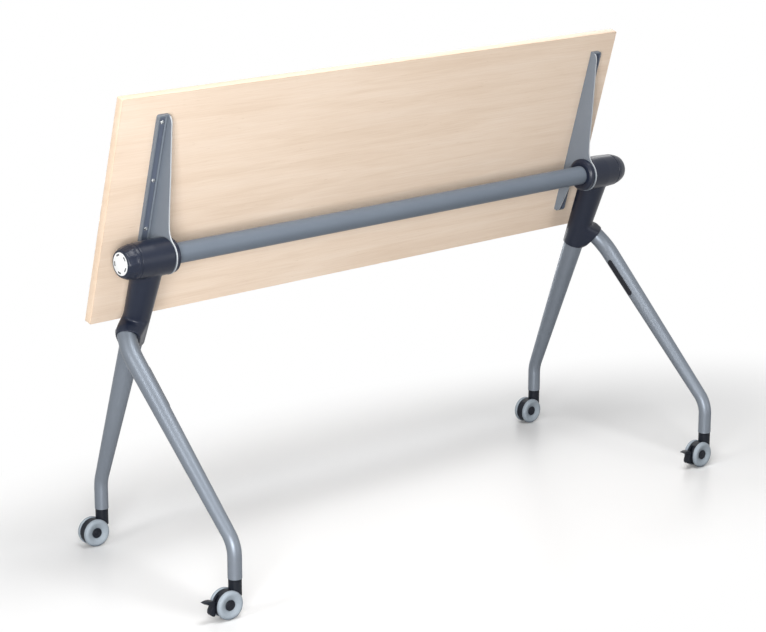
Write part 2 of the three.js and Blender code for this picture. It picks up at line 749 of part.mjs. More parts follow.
function stadium(length, width, low, high) {
  const [run, radius] = [(length - width) / 2, width / 2];
  const outline = new THREE.Shape();
  outline.absarc(run, 0, radius, -Math.PI / 2, Math.PI / 2, false);
  outline.absarc(-run, 0, radius, Math.PI / 2, 1.5 * Math.PI, false);
  const settings = { depth: high - low, bevelEnabled: false, curveSegments: 8 };
  return new THREE.ExtrudeGeometry(outline, settings).translate(0, 0, low);
}

function frontLeg(side) {
  const pocket = stadium(bumperLength + 2 * gap, bumperWidth + 2 * gap, -bumperSink, bumperWidth);
  return without(frontLegTube(side).tube, pocket.applyMatrix4(bumperFrame(side)));
}

function legBumper(side) {
  const seat = gap - bumperSink;
  const pad = stadium(bumperLength, bumperWidth, seat, seat + bumperThickness);
  return pad.applyMatrix4(bumperFrame(side));
}

Object.entries(sides).forEach(([sideName, side]) => {
  place(table, `rear_leg_${sideName}`, rearLeg(side), silverPaint);
  place(table, `front_leg_${sideName}`, frontLeg(side), silverPaint);
  place(table, `leg_bumper_${sideName}`, legBumper(side), blackRubber);
});

// Casters, drawn with the stem on the Z axis, the axle along Y and the wheels trailing towards -X
const tubeBore = legFootRadius - legWall;
const flangeFoot = legFootHeight - gap - sleeveFlangeThickness;
const hoodTop = flangeFoot - gap;

function casterSleeve() {
  const flangeTop = legFootHeight - gap;
  const top = legFootHeight + sleeveLength;
  const sleeveRadius = tubeBore - gap;
  const bore = stemRadius + gap;
  return turnedAlongZ([[bore, flangeFoot], [sleeveFlangeRadius, flangeFoot], [sleeveFlangeRadius, flangeTop],
    [sleeveRadius, flangeTop], [sleeveRadius, top], [bore, top], [bore, flangeFoot]], tubeSides);
}

function casterStem() {
  return turnedAlongZ([[0, stemFoot], [stemRadius, stemFoot], [stemRadius, stemTop - stemChamfer],
    [stemRadius - stemChamfer, stemTop], [0, stemTop]], smallSides);
}

function casterHood(braked) {
  const wheelSpace = (from, to) =>
    rodAlongY(wheelRadius + wheelClearance, from, to, tubeSides * 2).translate(-trail, 0, wheelRadius);
  const widest = neckRadius + neckRelief;
  const neck = without(
    rodAlongZ(neckRadius, neckFoot, hoodTop, tubeSides), wheelSpace(hoodHalfWidth, widest),
    wheelSpace(-widest, -hoodHalfWidth));
  const disc = rodAlongY(hoodRadius, -hoodHalfWidth, hoodHalfWidth, tubeSides * 2);
  const stemBore = rodAlongZ(stemRadius + gap, stemFoot - gap, hoodTop + overshoot, smallSides);
  const axleBore = rodAlongY(axleRadius + gap, -widest, widest, smallSides).translate(-trail, 0, wheelRadius);
  const body = without(joined(neck, disc.translate(-trail, 0, wheelRadius)), stemBore, axleBore);
  if (!braked) return body;
  const [pivotX, pivotZ] = pedalPivot();
  const slot = block(
    [pivotX - hoodRadius, -pedalSlotHalfWidth, -overshoot],
    [pivotX + pedalHubRadius + gap, pedalSlotHalfWidth, 2 * wheelRadius]);
  const pin = rodAlongY(pedalPinRadius, -hoodHalfWidth + gap, hoodHalfWidth - gap, smallSides);
  return joined(without(body, slot), pin.translate(pivotX, 0, pivotZ));
}

// Facets of the wheel stand flat on the floor at the wheel radius
function casterWheel(side) {
  const tread = wheelRadius / Math.cos(Math.PI / wheelSides);
  const bore = axleRadius + gap;
  const treadStart = wheelInnerFace + wheelShoulder;
  const treadEnd = treadStart + wheelTread;
  const dishFloor = wheelOuterFace - wheelDish;
  const wheel = turned([
    [bore, wheelInnerFace], [tread - wheelInnerChamfer, wheelInnerFace],
    [tread, treadStart], [tread, treadEnd],
    ...wheelOuterRound.map(([inset, drop]) => [tread - inset, wheelOuterFace - drop]),
    [hubCapRadius + wheelDishSlope, wheelOuterFace - wheelDishDrop],
    [hubCapRadius + gap, dishFloor], [bore, dishFloor],
    [bore, wheelInnerFace]], wheelSides, Math.PI / wheelSides);
  return side > 0 ? wheel : wheel.rotateZ(Math.PI);
}

function hubCap(side) {
  const seat = wheelOuterFace - wheelDish + gap;
  const cap = turned([[0, seat], [hubCapRadius, seat], [hubCapRadius, seat + hubCapHeight - hubCapEdge],
    [hubCapRadius - hubCapEdge, seat + hubCapHeight - gap], [0, seat + hubCapHeight]], tubeSides);
  return side > 0 ? cap : cap.rotateZ(Math.PI);
}

function pedalPivot() {
  return [-trail - pedalPivotBack, wheelRadius + pedalPivotRise];
}

// Pedal: a narrow hub on the hood's pin, and a wide beak above a rounded heel
function brakePedal() {
  const [pivotX, pivotZ] = pedalPivot();
  const hub = new THREE.Shape();
  hub.absarc(0, 0, pedalHubRadius, -Math.PI / 2, Math.PI / 2, false);
  hub.lineTo(-2 * pedalHubRadius, pedalHubRadius);
  hub.lineTo(-2 * pedalHubRadius, -pedalHubRadius);
  const hole = new THREE.Path();
  hole.absarc(0, 0, pedalPinRadius + gap, 0, 2 * Math.PI, true);
  hub.holes.push(hole);
  const beak = new THREE.Shape();
  beak.moveTo(-7.2, 9);
  beak.quadraticCurveTo(-18, 16.5, -34, 11.5);
  beak.quadraticCurveTo(-22, 6.5, -14.5, 2);
  beak.quadraticCurveTo(-15.5, -2, -18, -6);
  beak.quadraticCurveTo(-20.5, -14, -15, -18);
  beak.quadraticCurveTo(-8.6, -21.4, -7.6, -15);
  beak.lineTo(-7.2, 9);
  const hubPlate = plateAboutY(hub, pedalSlotHalfWidth - gap, 8);
  const pedal = joined(hubPlate, plateAboutY(beak, pedalHalfWidth, 6));
  return pedal.translate(pivotX, 0, pivotZ);
}

const casterPlaces = {
  front_left: { x: -frontLegX, y: frontFootY, braked: true },
  front_right: { x: frontLegX, y: frontFootY, braked: true },
  rear_left: { x: -columnX, y: rearFootY, braked: false },
  rear_right: { x: columnX, y: rearFootY, braked: false },
};

Object.entries(casterPlaces).forEach(([corner, { x, y, braked }]) => {
  const caster = new THREE.Group();
  caster.position.set(x, y, 0);
  caster.rotation.z = -rad(casterHeadings[corner]);
  table.add(caster);
  place(caster, `caster_sleeve_${corner}`, casterSleeve(), blackPlastic);
  place(caster, `caster_stem_${corner}`, casterStem(), zincSteel);
  place(caster, `caster_hood_${corner}`, casterHood(braked), blackPlastic);
  const axleEnd = wheelOuterFace - wheelDish;
  const axleRod = rodAlongY(axleRadius, -axleEnd, axleEnd, smallSides);
  const axle = place(caster, `axle_${corner}`, axleRod, zincSteel);
  axle.position.set(-trail, 0, wheelRadius);
  [1, -1].forEach((side, i) => {
    const wheel = place(caster, `wheel_${corner}_${i + 1}`, casterWheel(side), softGrey);
    wheel.position.set(-trail, 0, wheelRadius);
    const cap = place(caster, `hub_cap_${corner}_${i + 1}`, hubCap(side), blackPlastic);
    cap.position.set(-trail, 0, wheelRadius);
  });
  if (braked) place(caster, `brake_pedal_${corner}`, brakePedal(), blackPlastic);
});

// The origin lies on the floor, at the middle of the table's outline seen from above
const outline = new THREE.Box3().setFromObject(table);
const middle = outline.getCenter(new THREE.Vector3());
table.position.set(-middle.x, -middle.y, 0);

export default table;
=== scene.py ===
import json
import math

import bpy
from mathutils import Matrix, Vector


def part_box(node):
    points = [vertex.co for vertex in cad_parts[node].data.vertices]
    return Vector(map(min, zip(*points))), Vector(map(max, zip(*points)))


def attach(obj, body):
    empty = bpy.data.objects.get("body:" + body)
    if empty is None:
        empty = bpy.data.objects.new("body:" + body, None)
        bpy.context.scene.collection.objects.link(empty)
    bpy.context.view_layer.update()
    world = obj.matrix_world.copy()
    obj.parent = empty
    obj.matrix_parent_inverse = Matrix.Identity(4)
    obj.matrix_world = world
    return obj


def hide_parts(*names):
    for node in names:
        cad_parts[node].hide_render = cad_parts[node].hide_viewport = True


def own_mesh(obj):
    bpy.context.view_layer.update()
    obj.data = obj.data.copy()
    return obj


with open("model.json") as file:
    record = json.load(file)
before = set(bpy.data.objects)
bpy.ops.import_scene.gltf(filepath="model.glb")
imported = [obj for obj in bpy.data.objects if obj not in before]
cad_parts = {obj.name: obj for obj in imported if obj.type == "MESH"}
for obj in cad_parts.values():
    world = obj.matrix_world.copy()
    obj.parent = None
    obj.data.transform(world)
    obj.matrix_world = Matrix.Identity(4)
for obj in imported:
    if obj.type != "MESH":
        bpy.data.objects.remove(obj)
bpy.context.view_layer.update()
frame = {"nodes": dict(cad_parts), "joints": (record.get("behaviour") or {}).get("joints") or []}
mm = 0.001
near = 0.1 * mm  # places this close count as the same
weldGap = 0.002 * mm
right, alongY, up = Vector((1, 0, 0)), Vector((0, 1, 0)), Vector((0, 0, 1))
white = (1, 1, 1, 1)
fineSides, roundSides, smallSides = 96, 64, 32  # of broad, middling and small round forms
bothSides = (("left", -1), ("right", 1))
corners = ("front_left", "front_right", "rear_left", "rear_right")

jointAt = {joint["name"]: Vector(joint["pos_m"]) for joint in frame["joints"] if joint.get("pos_m")}
jointAxis = {joint["name"]: Vector(joint["axis"]) for joint in frame["joints"]}
tiltRange = next(joint["range_deg"] for joint in frame["joints"] if joint["name"] == "top_tilt")
beamMiddle = jointAt["top_tilt"]  # on the line that the beam runs along
topPlace = Matrix.Translation(beamMiddle) @ Matrix.Rotation(-math.radians(tiltRange[1]), 4, "X")
print("frame loaded,", len(frame["nodes"]), "nodes")


def lengths(**values):  # given in mm
    return {name: value * mm for name, value in values.items()}


# selection and transforms

def objectMode():
    bpy.ops.object.mode_set(mode="OBJECT")


def editMode(kind="VERT"):
    bpy.ops.object.mode_set(mode="EDIT")
    bpy.ops.mesh.select_mode(type=kind)


def selectAll(action="SELECT"):  # in edit mode
    bpy.ops.mesh.select_all(action=action)


def clearSelection():
    if bpy.context.object and bpy.context.object.mode == "EDIT":
        objectMode()
    bpy.ops.object.select_all(action="DESELECT")


def choose(*pieces):  # the last one is active
    clearSelection()
    for piece in pieces:
        piece.select_set(True)
    bpy.context.view_layer.objects.active = pieces[-1]


def editAll(piece):  # everything selected
    choose(piece)
    editMode()
    selectAll()


def bakePlace():  # the chosen piece's place goes into its mesh
    bpy.ops.object.transform_apply(location=True, rotation=True, scale=True)


def newForm(name, addForm, scale=(1, 1, 1), **settings):
    clearSelection()
    addForm(**settings)
    piece = bpy.context.object
    piece.scale = scale
    piece.name = piece.data.name = name
    bakePlace()
    return piece


def settle(piece, place):  # a finished mesh goes to its place
    choose(piece)
    piece.matrix_world = place
    bakePlace()
    return piece


def copyPiece(source, name, place):
    twin = source.copy()
    twin.data = source.data.copy()
    twin.name = twin.data.name = name
    bpy.context.collection.objects.link(twin)
    return settle(twin, place)


def joinPieces(name, *pieces):
    choose(*pieces)
    bpy.ops.object.join()
    whole = bpy.context.object
    whole.name = whole.data.name = name
    return whole


meshParts = {"FACE": "polygons", "EDGE": "edges", "VERT": "vertices"}


def pick(piece, kind, wanted):  # in edit mode: the faces, edges or points that are wanted
    selectAll("DESELECT")
    objectMode()
    for part in getattr(piece.data, meshParts[kind]):
        part.select = bool(wanted(part))
    editMode(kind)


def extrude(step):  # in edit mode
    bpy.ops.mesh.extrude_region_move(TRANSFORM_OT_translate={"value": step})


def cleanShell():  # in edit mode: one closed skin, faces outwards
    selectAll()
    bpy.ops.mesh.remove_doubles(threshold=weldGap)
    bpy.ops.mesh.normals_make_consistent(inside=False)
    objectMode()


# modifiers

def applyModifier(piece, kind, **settings):
    choose(piece)
    modifier = piece.modifiers.new(kind.lower(), kind)
    for key, value in settings.items():
        setattr(modifier, key, value)
    bpy.ops.object.modifier_apply(modifier=modifier.name)
    return piece


def roundEdges(piece, width, segments=3, angle=32):
    return applyModifier(
        piece, "BEVEL", width=width, segments=segments, limit_method="ANGLE",
        angle_limit=math.radians(angle), miter_outer="MITER_ARC")


def combine(piece, other, operation="DIFFERENCE", solver="EXACT"):
    applyModifier(piece, "BOOLEAN", operation=operation, solver=solver, object=other)
    bpy.data.objects.remove(other)
    return piece


# basic forms

def pointChain(name, spots):  # one point drawn out through the rest, left in edit mode
    piece = newForm(name, bpy.ops.mesh.primitive_plane_add, size=mm, location=spots[0])
    editMode()
    bpy.ops.mesh.merge(type="CENTER")
    for here, there in zip(spots, spots[1:]):
        bpy.ops.mesh.extrude_vertices_move(TRANSFORM_OT_translate={"value": there - here})
    selectAll()
    return piece


def turnedPiece(name, profile, middle, axis, steps=fineSides):  # profile: (along the axis, radius)
    along = Vector(axis).normalized()
    outward = along.orthogonal().normalized()
    piece = pointChain(name, [Vector(middle) + along * run + outward * radius for run, radius in profile])
    bpy.ops.mesh.spin(steps=steps, angle=2 * math.pi, center=middle, axis=along)
    cleanShell()
    return piece


def outlinePlate(name, points, depth):  # points in the YZ plane, thickness along +X
    piece = pointChain(name, [Vector((0, y, z)) for y, z in points])
    bpy.ops.mesh.edge_face_add()
    extrude((depth, 0, 0))
    cleanShell()
    return piece


def rod(name, start, end, radius, sides=smallSides):
    axis = Vector(end) - Vector(start)
    return newForm(
        name, bpy.ops.mesh.primitive_cylinder_add, vertices=sides, radius=radius, depth=axis.length,
        location=(Vector(start) + Vector(end)) / 2, rotation=axis.to_track_quat("Z", "Y").to_euler())


def drill(piece, start, end, radius, sides=smallSides, solver="EXACT"):
    return combine(piece, rod("drill", start, end, radius, sides), solver=solver)


def hoop(name, radius, sides, **settings):
    return newForm(name, bpy.ops.mesh.primitive_circle_add, vertices=sides, radius=radius, **settings)


def hullOf(name, rings):  # rings: (middle, normal, radius)
    hoops = []
    for middle, normal, radius in rings:
        turn = normal.to_track_quat("Z", "Y").to_euler()
        hoops.append(hoop(name, radius, roundSides, location=middle, rotation=turn))
    whole = joinPieces(name, *hoops)
    editAll(whole)
    bpy.ops.mesh.convex_hull()
    cleanShell()
    return whole


def slab(name, low, high):
    low, high = Vector(low), Vector(high)
    return newForm(name, bpy.ops.mesh.primitive_cube_add, high - low, size=1, location=(low + high) / 2)


def curvePoints(start, control, end, steps=12):
    start, control, end = Vector(start), Vector(control), Vector(end)
    shares = [(step + 1) / steps for step in range(steps)]
    return [start * (1 - t) ** 2 + control * (2 * t * (1 - t)) + end * t ** 2 for t in shares]


def arcPoints(radius, fromDeg, toDeg, steps):
    angles = [math.radians(fromDeg + (toDeg - fromDeg) * step / steps) for step in range(steps + 1)]
    return [Vector((radius * math.cos(angle), radius * math.sin(angle))) for angle in angles]


# finishes: an owner of nodes is a material or the world

def paint(red, green, blue):  # display values 0 to 255 to the shader's scale
    def scale(value):
        share = value / 255
        return share / 12.92 if share <= 0.04045 else ((share + 0.055) / 1.055) ** 2.4
    return (scale(red), scale(green), scale(blue), 1)


def newFinish(name):
    finish = bpy.data.materials.new(name)
    finish.use_nodes = True
    return finish, finish.node_tree.nodes["Principled BSDF"]


def feed(owner, node, values):  # each input gets a link or a plain value
    for key, value in values.items():
        if isinstance(value, bpy.types.NodeSocket):
            owner.node_tree.links.new(value, node.inputs[key])
        else:
            node.inputs[key].default_value = value


def addNode(owner, kind, values=None, **settings):
    node = owner.node_tree.nodes.new(kind)
    for key, value in settings.items():
        setattr(node, key, value)
    feed(owner, node, values or {})
    return node


def mathOn(owner, operation, *values):
    return addNode(owner, "ShaderNodeMath", dict(enumerate(values)), operation=operation).outputs[0]


def seenDirectly(owner):  # by the camera, in a reflection or through glass
    path = addNode(owner, "ShaderNodeLightPath").outputs
    indirect = mathOn(owner, "MAXIMUM", path["Is Glossy Ray"], path["Is Transmission Ray"])
    return mathOn(owner, "MAXIMUM", path["Is Camera Ray"], indirect)


def mappedPlace(finish, **values):  # the object's own coordinates, shifted or stretched
    place = addNode(finish, "ShaderNodeTexCoord").outputs["Object"]
    return addNode(finish, "ShaderNodeMapping", {"Vector": place, **values}).outputs["Vector"]


def noiseOn(finish, scale, stretch=(1, 1, 1), detail=4, rough=0.5, distortion=0):
    noise = addNode(finish, "ShaderNodeTexNoise", {
        "Vector": mappedPlace(finish, Scale=stretch), "Scale": scale, "Detail": detail, "Roughness": rough,
        "Distortion": distortion})
    return noise.outputs["Fac"]


def rampOn(finish, factor, stops):  # stops: (position, colour)
    ramp = addNode(finish, "ShaderNodeValToRGB", {"Fac": factor})
    elements = ramp.color_ramp.elements
    while len(elements) < len(stops):
        elements.new(0.5)
    for element, (position, color) in zip(elements, stops):
        element.position = position
        element.color = color
    return ramp.outputs["Color"]


def rangeOn(finish, factor, low, high, fromLow=0.3, fromHigh=0.7):
    spread = addNode(finish, "ShaderNodeMapRange", {
        "Value": factor, "From Min": fromLow, "From Max": fromHigh, "To Min": low, "To Max": high})
    return spread.outputs["Result"]


def blendColors(finish, factor, first, second, mode="MIX"):
    values = {"Factor": factor, 6: first, 7: second}  # the node's two colour inputs
    return addNode(finish, "ShaderNodeMix", values, data_type="RGBA", blend_type=mode).outputs[2]


def bumpOn(finish, height, distance, strength):
    values = {"Height": height, "Distance": distance, "Strength": strength}
    return addNode(finish, "ShaderNodeBump", values).outputs["Normal"]


def speckledFinish(name, dark, light, **look):  # mouldings, paints and rubbers: close tones, fine surface
    finish, shader = newFinish(name)
    speck = noiseOn(finish, look["speckScale"], detail=3)
    cloud = noiseOn(finish, look["cloudScale"], detail=3)
    tone = rampOn(finish, speck, [(0.35, paint(*dark)), (0.65, paint(*light))])
    shade = rampOn(finish, cloud, [(0.3, look["cloudDark"]), (0.7, white)])
    color = blendColors(finish, 1, tone, shade, "MULTIPLY")
    if "recess" in look:  # painted shade: colour darkened by ambient occlusion in a hollow, such as the dish of a wheel
        occlusionShade = addNode(finish, "ShaderNodeAmbientOcclusion", {"Distance": look["recess"]})
        depth = rampOn(finish, occlusionShade.outputs["AO"], [(0.35, look["recessTone"]), (0.95, white)])
        color = blendColors(finish, 1, color, depth, "MULTIPLY")
    grain = noiseOn(finish, look["bumpScale"], detail=2)
    feed(finish, shader, {
        "Base Color": color, "Roughness": rangeOn(finish, cloud, *look["rough"]),
        "Metallic": look.get("metal", 0), "Specular IOR Level": look.get("specular", 0.5),
        "Normal": bumpOn(finish, grain, look["bumpHeight"], strength=0.5)})
    return finish


paintGrain = {
    "cloudDark": (0.95, 0.95, 0.96, 1), "speckScale": 2600, "cloudScale": 9, "rough": (0.32, 0.38),
    "metal": 0.06, "specular": 0.06, "bumpScale": 900, "bumpHeight": 0.001 * mm}
silverGrain = {**paintGrain, "metal": 0.45, "rough": (0.38, 0.43), "bumpHeight": 0.0002 * mm}
plasticGrain = {"speckScale": 1500, "bumpScale": 1300, "bumpHeight": 0.03 * mm}

greyPaint = speckledFinish("greyPaint", (106, 115, 126), (120, 129, 140), **paintGrain)
# grey paint with painted light: a lighter copy of the beam's grey, for the lit bracket webs
bracketPaint = speckledFinish("bracketPaint", (115, 123, 133), (129, 137, 147), **paintGrain)
# painted highlight: a pale paint on the web's edge faces, where the edges catch the light
bracketRim = speckledFinish("bracketRim", (186, 190, 194), (200, 204, 208), **paintGrain)
# painted shade: a darker paint for the tray's floor and inner walls, which lie in shade
trayPaint = speckledFinish("trayPaint", (98, 106, 122), (110, 118, 134), **paintGrain)
silverPaint = speckledFinish("silverPaint", (117, 124, 133), (129, 136, 145), **silverGrain)
housingPlastic = speckledFinish(
    "housingPlastic", (22, 28, 43), (30, 37, 54), **plasticGrain,
    cloudDark=(0.9, 0.9, 0.92, 1), cloudScale=14, rough=(0.3, 0.38), specular=0.3)
casterPlastic = speckledFinish(
    "casterPlastic", (15, 19, 27), (22, 27, 36), **plasticGrain,
    cloudDark=(0.86, 0.86, 0.88, 1), cloudScale=30, rough=(0.45, 0.56), specular=0.2)
# painted shade: the tyre's dish is darkened by ambient occlusion within the recess reach
tyreGrey = speckledFinish(
    "tyreGrey", (144, 154, 163), (159, 169, 178), cloudDark=(0.94, 0.94, 0.94, 1), speckScale=900,
    cloudScale=40, rough=(0.5, 0.62), specular=0.35, recess=12 * mm, recessTone=(0.55, 0.57, 0.6, 1),
    bumpScale=1100, bumpHeight=0.03 * mm)
padRubber = speckledFinish(
    "padRubber", (20, 22, 28), (28, 30, 38), cloudDark=(0.85, 0.85, 0.85, 1), speckScale=1200, cloudScale=40,
    rough=(0.6, 0.75), specular=0.3, bumpScale=800, bumpHeight=0.06 * mm)
zincSteel = speckledFinish(
    "zincSteel", (214, 217, 220), (230, 232, 234), cloudDark=(0.9, 0.9, 0.88, 1), speckScale=800,
    cloudScale=60, rough=(0.2, 0.32), metal=0.9, bumpScale=700, bumpHeight=0.02 * mm)

maple = {
    "pale": paint(247, 229, 211), "mid": paint(242, 221, 200), "deep": paint(232, 209, 186),
    "figure": paint(230, 206, 182), "fleck": paint(204, 176, 146), "warm": (0.955, 0.94, 0.925, 1),
    "figureShare": 0.4, "fleckShare": 0.35, "rough": (0.5, 0.42), "specular": 0.35, "bumpHeight": 0.02 * mm}


def mapleFinish(name, tint):  # long fine grain along the board, with soft figure and a few flecks
    finish, shader = newFinish(name)
    fine = noiseOn(finish, 5, stretch=(2.4, 120, 120), detail=6, rough=0.62, distortion=0.3)
    broad = noiseOn(finish, 3, stretch=(0.9, 16, 16), distortion=0.7)
    patch = noiseOn(finish, 2.6, stretch=(1, 2.4, 2.4), detail=2)
    fleck = noiseOn(finish, 9, stretch=(5, 45, 45), detail=2, rough=0.4)
    grain = rampOn(finish, fine, [(0.28, maple["deep"]), (0.48, maple["mid"]), (0.7, maple["pale"])])
    bands = rampOn(finish, broad, [(0.34, maple["figure"]), (0.5, maple["mid"]), (0.66, maple["pale"])])
    wood = blendColors(finish, maple["figureShare"], grain, bands)
    warm = rampOn(finish, patch, [(0.3, maple["warm"]), (0.7, white)])
    wood = blendColors(finish, 1, wood, warm, "MULTIPLY")
    specks = rangeOn(finish, fleck, 0, maple["fleckShare"], fromLow=0.7, fromHigh=0.8)
    wood = blendColors(finish, specks, wood, maple["fleck"])
    feed(finish, shader, {
        "Base Color": blendColors(finish, 1, wood, tint, "MULTIPLY"),
        "Roughness": rangeOn(finish, fine, *maple["rough"]), "Specular IOR Level": maple["specular"],
        "Normal": bumpOn(finish, fine, maple["bumpHeight"], strength=0.4)})
    return finish


mapleFace = mapleFinish("mapleFace", white)
mapleEdge = mapleFinish("mapleEdge", (1, 0.97, 0.93, 1))
print("finishes mixed")


# each finished piece gets its finish and its body, and the frame's nodes that it replaces are hidden

def dress(piece, finish, body, slotName, *nodes, smooth=35):
    choose(piece)
    bpy.ops.object.shade_smooth_by_angle(angle=math.radians(smooth))
    piece.data.materials.clear()
    piece.data.materials.append(finish)
    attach(piece, body)
    if nodes:
        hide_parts(*nodes)


def addFinish(piece, finish, wanted):  # another finish on some of the faces
    choose(piece)
    piece.data.materials.append(finish)
    piece.active_material_index = len(piece.data.materials) - 1
    editMode("FACE")
    pick(piece, "FACE", wanted)
    bpy.ops.object.material_slot_assign()
    objectMode()


# table top

top = lengths(
    length=1400, depth=490, thick=18, shift=-21, rearReach=167, rise=64, band=1.6, corner=2.5, coreCorner=1.2,
    edge=0.7, seam=0.05)
screws = {
    **lengths(x=619, hole=2.4, holeDepth=5, bite=11.3, head=4.6, headHeight=2.6, shank=2.1, point=2,
              recess=1.9, recessDepth=1.6, gap=0.3, edge=0.12),
    "reaches": (265 * mm, 139.5 * mm, 33.5 * mm), "boardSides": 24, "recessSides": 6,
    "dome": ((1, 0.5), (0.9, 0.75), (0.65, 0.94), (0.3, 1))}  # shares of the head's height and radius


def roundedSheet(name, length, depth, corner):  # left in edit mode, its face selected
    sheet = newForm(name, bpy.ops.mesh.primitive_plane_add, (length, depth, 1), size=1)
    editAll(sheet)
    bpy.ops.mesh.bevel(offset=corner, segments=6, affect="VERTICES")
    bpy.ops.mesh.select_mode(type="FACE")
    selectAll()
    return sheet


def makeTop():
    middle = Vector((top["shift"], top["rearReach"] - top["depth"] / 2, top["rise"]))
    place = topPlace @ Matrix.Translation(middle)
    lift = up * top["thick"]
    band = roundedSheet("edgeBand", top["length"], top["depth"], top["corner"])
    bpy.ops.mesh.inset(thickness=top["band"])
    bpy.ops.mesh.delete(type="FACE")
    selectAll()
    extrude(lift)
    cleanShell()
    roundEdges(band, top["edge"])
    settle(band, place)
    dress(band, mapleEdge, "top", "maple")
    shrink = 2 * (top["band"] + top["seam"])
    board = roundedSheet("boardCore", top["length"] - shrink, top["depth"] - shrink, top["coreCorner"])
    extrude(lift)
    cleanShell()
    for sign in (-1, 1):
        for reach in screws["reaches"]:
            foot = Vector((sign * screws["x"], -reach, top["rise"])) - middle
            drill(board, foot - up * mm, foot + up * screws["bite"], screws["hole"], screws["boardSides"])
    settle(board, place)
    dress(board, mapleFace, "top", "maple", "table_top")


makeTop()
print("table top made")


# brackets: a tall web with a ring round the beam, on a shallow screwed tray

bracket = {
    **lengths(face=63.7, frontReach=281, rearReach=118, innerX=606, webThick=3, trayWidth=26, trayThick=3,
              lip=9, ring=38.4, bore=23.4, boreReach=20, lockOrbit=28.3, lockHole=2.8, lockReach=8,
              noseDepth=5, noseLead=2.5, tailRise=6, corner=5, fillet=3.6, sink=0.5, edge=0.6, rimFrom=12),
    "footLead": (16 * mm, 6 * mm), "ringLead": (10 * mm, 4 * mm), "ringArc": (200, 410, 56), "rimTurn": 0.6,
    "freeEdge": ((0.918, 22 * mm), (0.765, 30.5 * mm), (0.527, 44 * mm), (0.192, 63 * mm))}


def webOutline():
    face, front, tail = bracket["face"], -bracket["frontReach"], bracket["rearReach"]
    edge = [Vector((share * front, face - depth)) for share, depth in bracket["freeEdge"]]
    nose, upper, middle, lower = edge
    ring = arcPoints(bracket["ring"], *bracket["ringArc"])
    noseStart = (front, face - bracket["noseDepth"])
    (footX, footY), (ringX, ringY) = bracket["footLead"], bracket["ringLead"]
    points = [(front, face), noseStart]
    points += curvePoints(noseStart, (front, nose.y + bracket["noseLead"]), nose)
    points += [upper, middle]
    points += curvePoints(middle, (lower.x - footX, lower.y + footY), lower)
    points += curvePoints(lower, (lower.x + ringX, lower.y - ringY), ring[0])
    points += ring[1:]
    points += [(tail - bracket["tailRise"], face - bracket["lip"] - bracket["tailRise"])]
    points += [(tail, face - bracket["lip"]), (tail, face)]
    return points


def makeFillet(sign):  # the hollow corner between the web and the tray's floor
    size, sink, wall = bracket["fillet"], bracket["sink"], bracket["trayThick"]
    curve = [Vector((size, size)) - spot for spot in arcPoints(size, 90, 0, 8)]
    outline = [(-sink, -sink), (size, -sink), *curve, (-sink, size)]
    run = bracket["frontReach"] + bracket["rearReach"] - 2 * wall
    strip = outlinePlate("fillet", outline, run + 2 * sink)
    start = -bracket["frontReach"] + wall - sink if sign > 0 else bracket["rearReach"] - wall + sink
    corner = (sign * (bracket["innerX"] + bracket["webThick"]), start, bracket["face"] - wall)
    turn = Matrix(((0, sign, 0), (sign, 0, 0), (0, 0, -1)))  # its length to Y, its rise to -Z
    return settle(strip, Matrix.Translation(corner) @ turn.to_4x4())


def makeBracket(sideName, sign):
    face, front, rear = bracket["face"], -bracket["frontReach"], bracket["rearReach"]
    inner, wall, lip = bracket["innerX"], bracket["trayThick"], bracket["lip"]
    webStart = sign * inner if sign > 0 else -inner - bracket["webThick"]
    web = outlinePlate("bracket_" + sideName, webOutline(), bracket["webThick"])
    webAt = right * webStart
    settle(web, Matrix.Translation(webAt))
    trayEdge = sign * (inner + bracket["trayWidth"])
    lowX, highX = sorted((sign * inner, trayEdge))
    tray = slab("tray", (lowX, front, face - lip), (highX, rear, face))

    def atOuterCorner(part):
        one, two = [tray.data.vertices[end].co for end in part.vertices]
        return abs(one.z - two.z) > mm and abs(one.x - trayEdge) < near

    editMode("EDGE")
    pick(tray, "EDGE", atOuterCorner)
    bpy.ops.mesh.bevel(offset=bracket["corner"], segments=6, affect="EDGES")
    pick(tray, "FACE", lambda part: part.normal.z < -0.9)
    bpy.ops.mesh.inset(thickness=wall)
    extrude(up * (lip - wall))
    cleanShell()
    combine(web, tray, "UNION")
    lockAt = webAt + up * bracket["lockOrbit"]
    reach, lockReach = right * bracket["boreReach"], right * bracket["lockReach"]
    drill(web, webAt - reach, webAt + reach, bracket["bore"], fineSides)
    drill(web, lockAt - lockReach, lockAt + lockReach, bracket["lockHole"])
    for screwReach in screws["reaches"]:
        seat = Vector((sign * screws["x"], -screwReach, face))
        drill(web, seat - up * screws["holeDepth"], seat + up * mm, screws["hole"])
    combine(web, makeFillet(sign), "UNION")
    roundEdges(web, bracket["edge"], 2, 40)
    settle(web, topPlace)
    # the bracket takes the lighter grey, which carries painted light
    dress(web, bracketPaint, "top", "grey_paint", "bracket_" + sideName, smooth=30)
    applyModifier(web, "WEIGHTED_NORMAL", keep_sharp=True)
    toTop = topPlace.inverted()
    insideX = (inner + bracket["webThick"] + bracket["fillet"], inner + bracket["trayWidth"] - wall)

    def onRim(part):
        return abs(part.normal.x) < bracket["rimTurn"] and (toTop @ part.center).z < face - bracket["rimFrom"]

    def inTray(part):
        spot = toTop @ part.center
        inWidth = insideX[0] < sign * spot.x < insideX[1] + near
        inLength = front + wall - near < spot.y < rear - wall + near
        return inWidth and inLength and face - lip + mm < spot.z < face - 0.5 * wall

    # painted highlight on the web's edge faces
    addFinish(web, bracketRim, onRim)
    # painted shade on the tray's floor and inner walls
    addFinish(web, trayPaint, inTray)


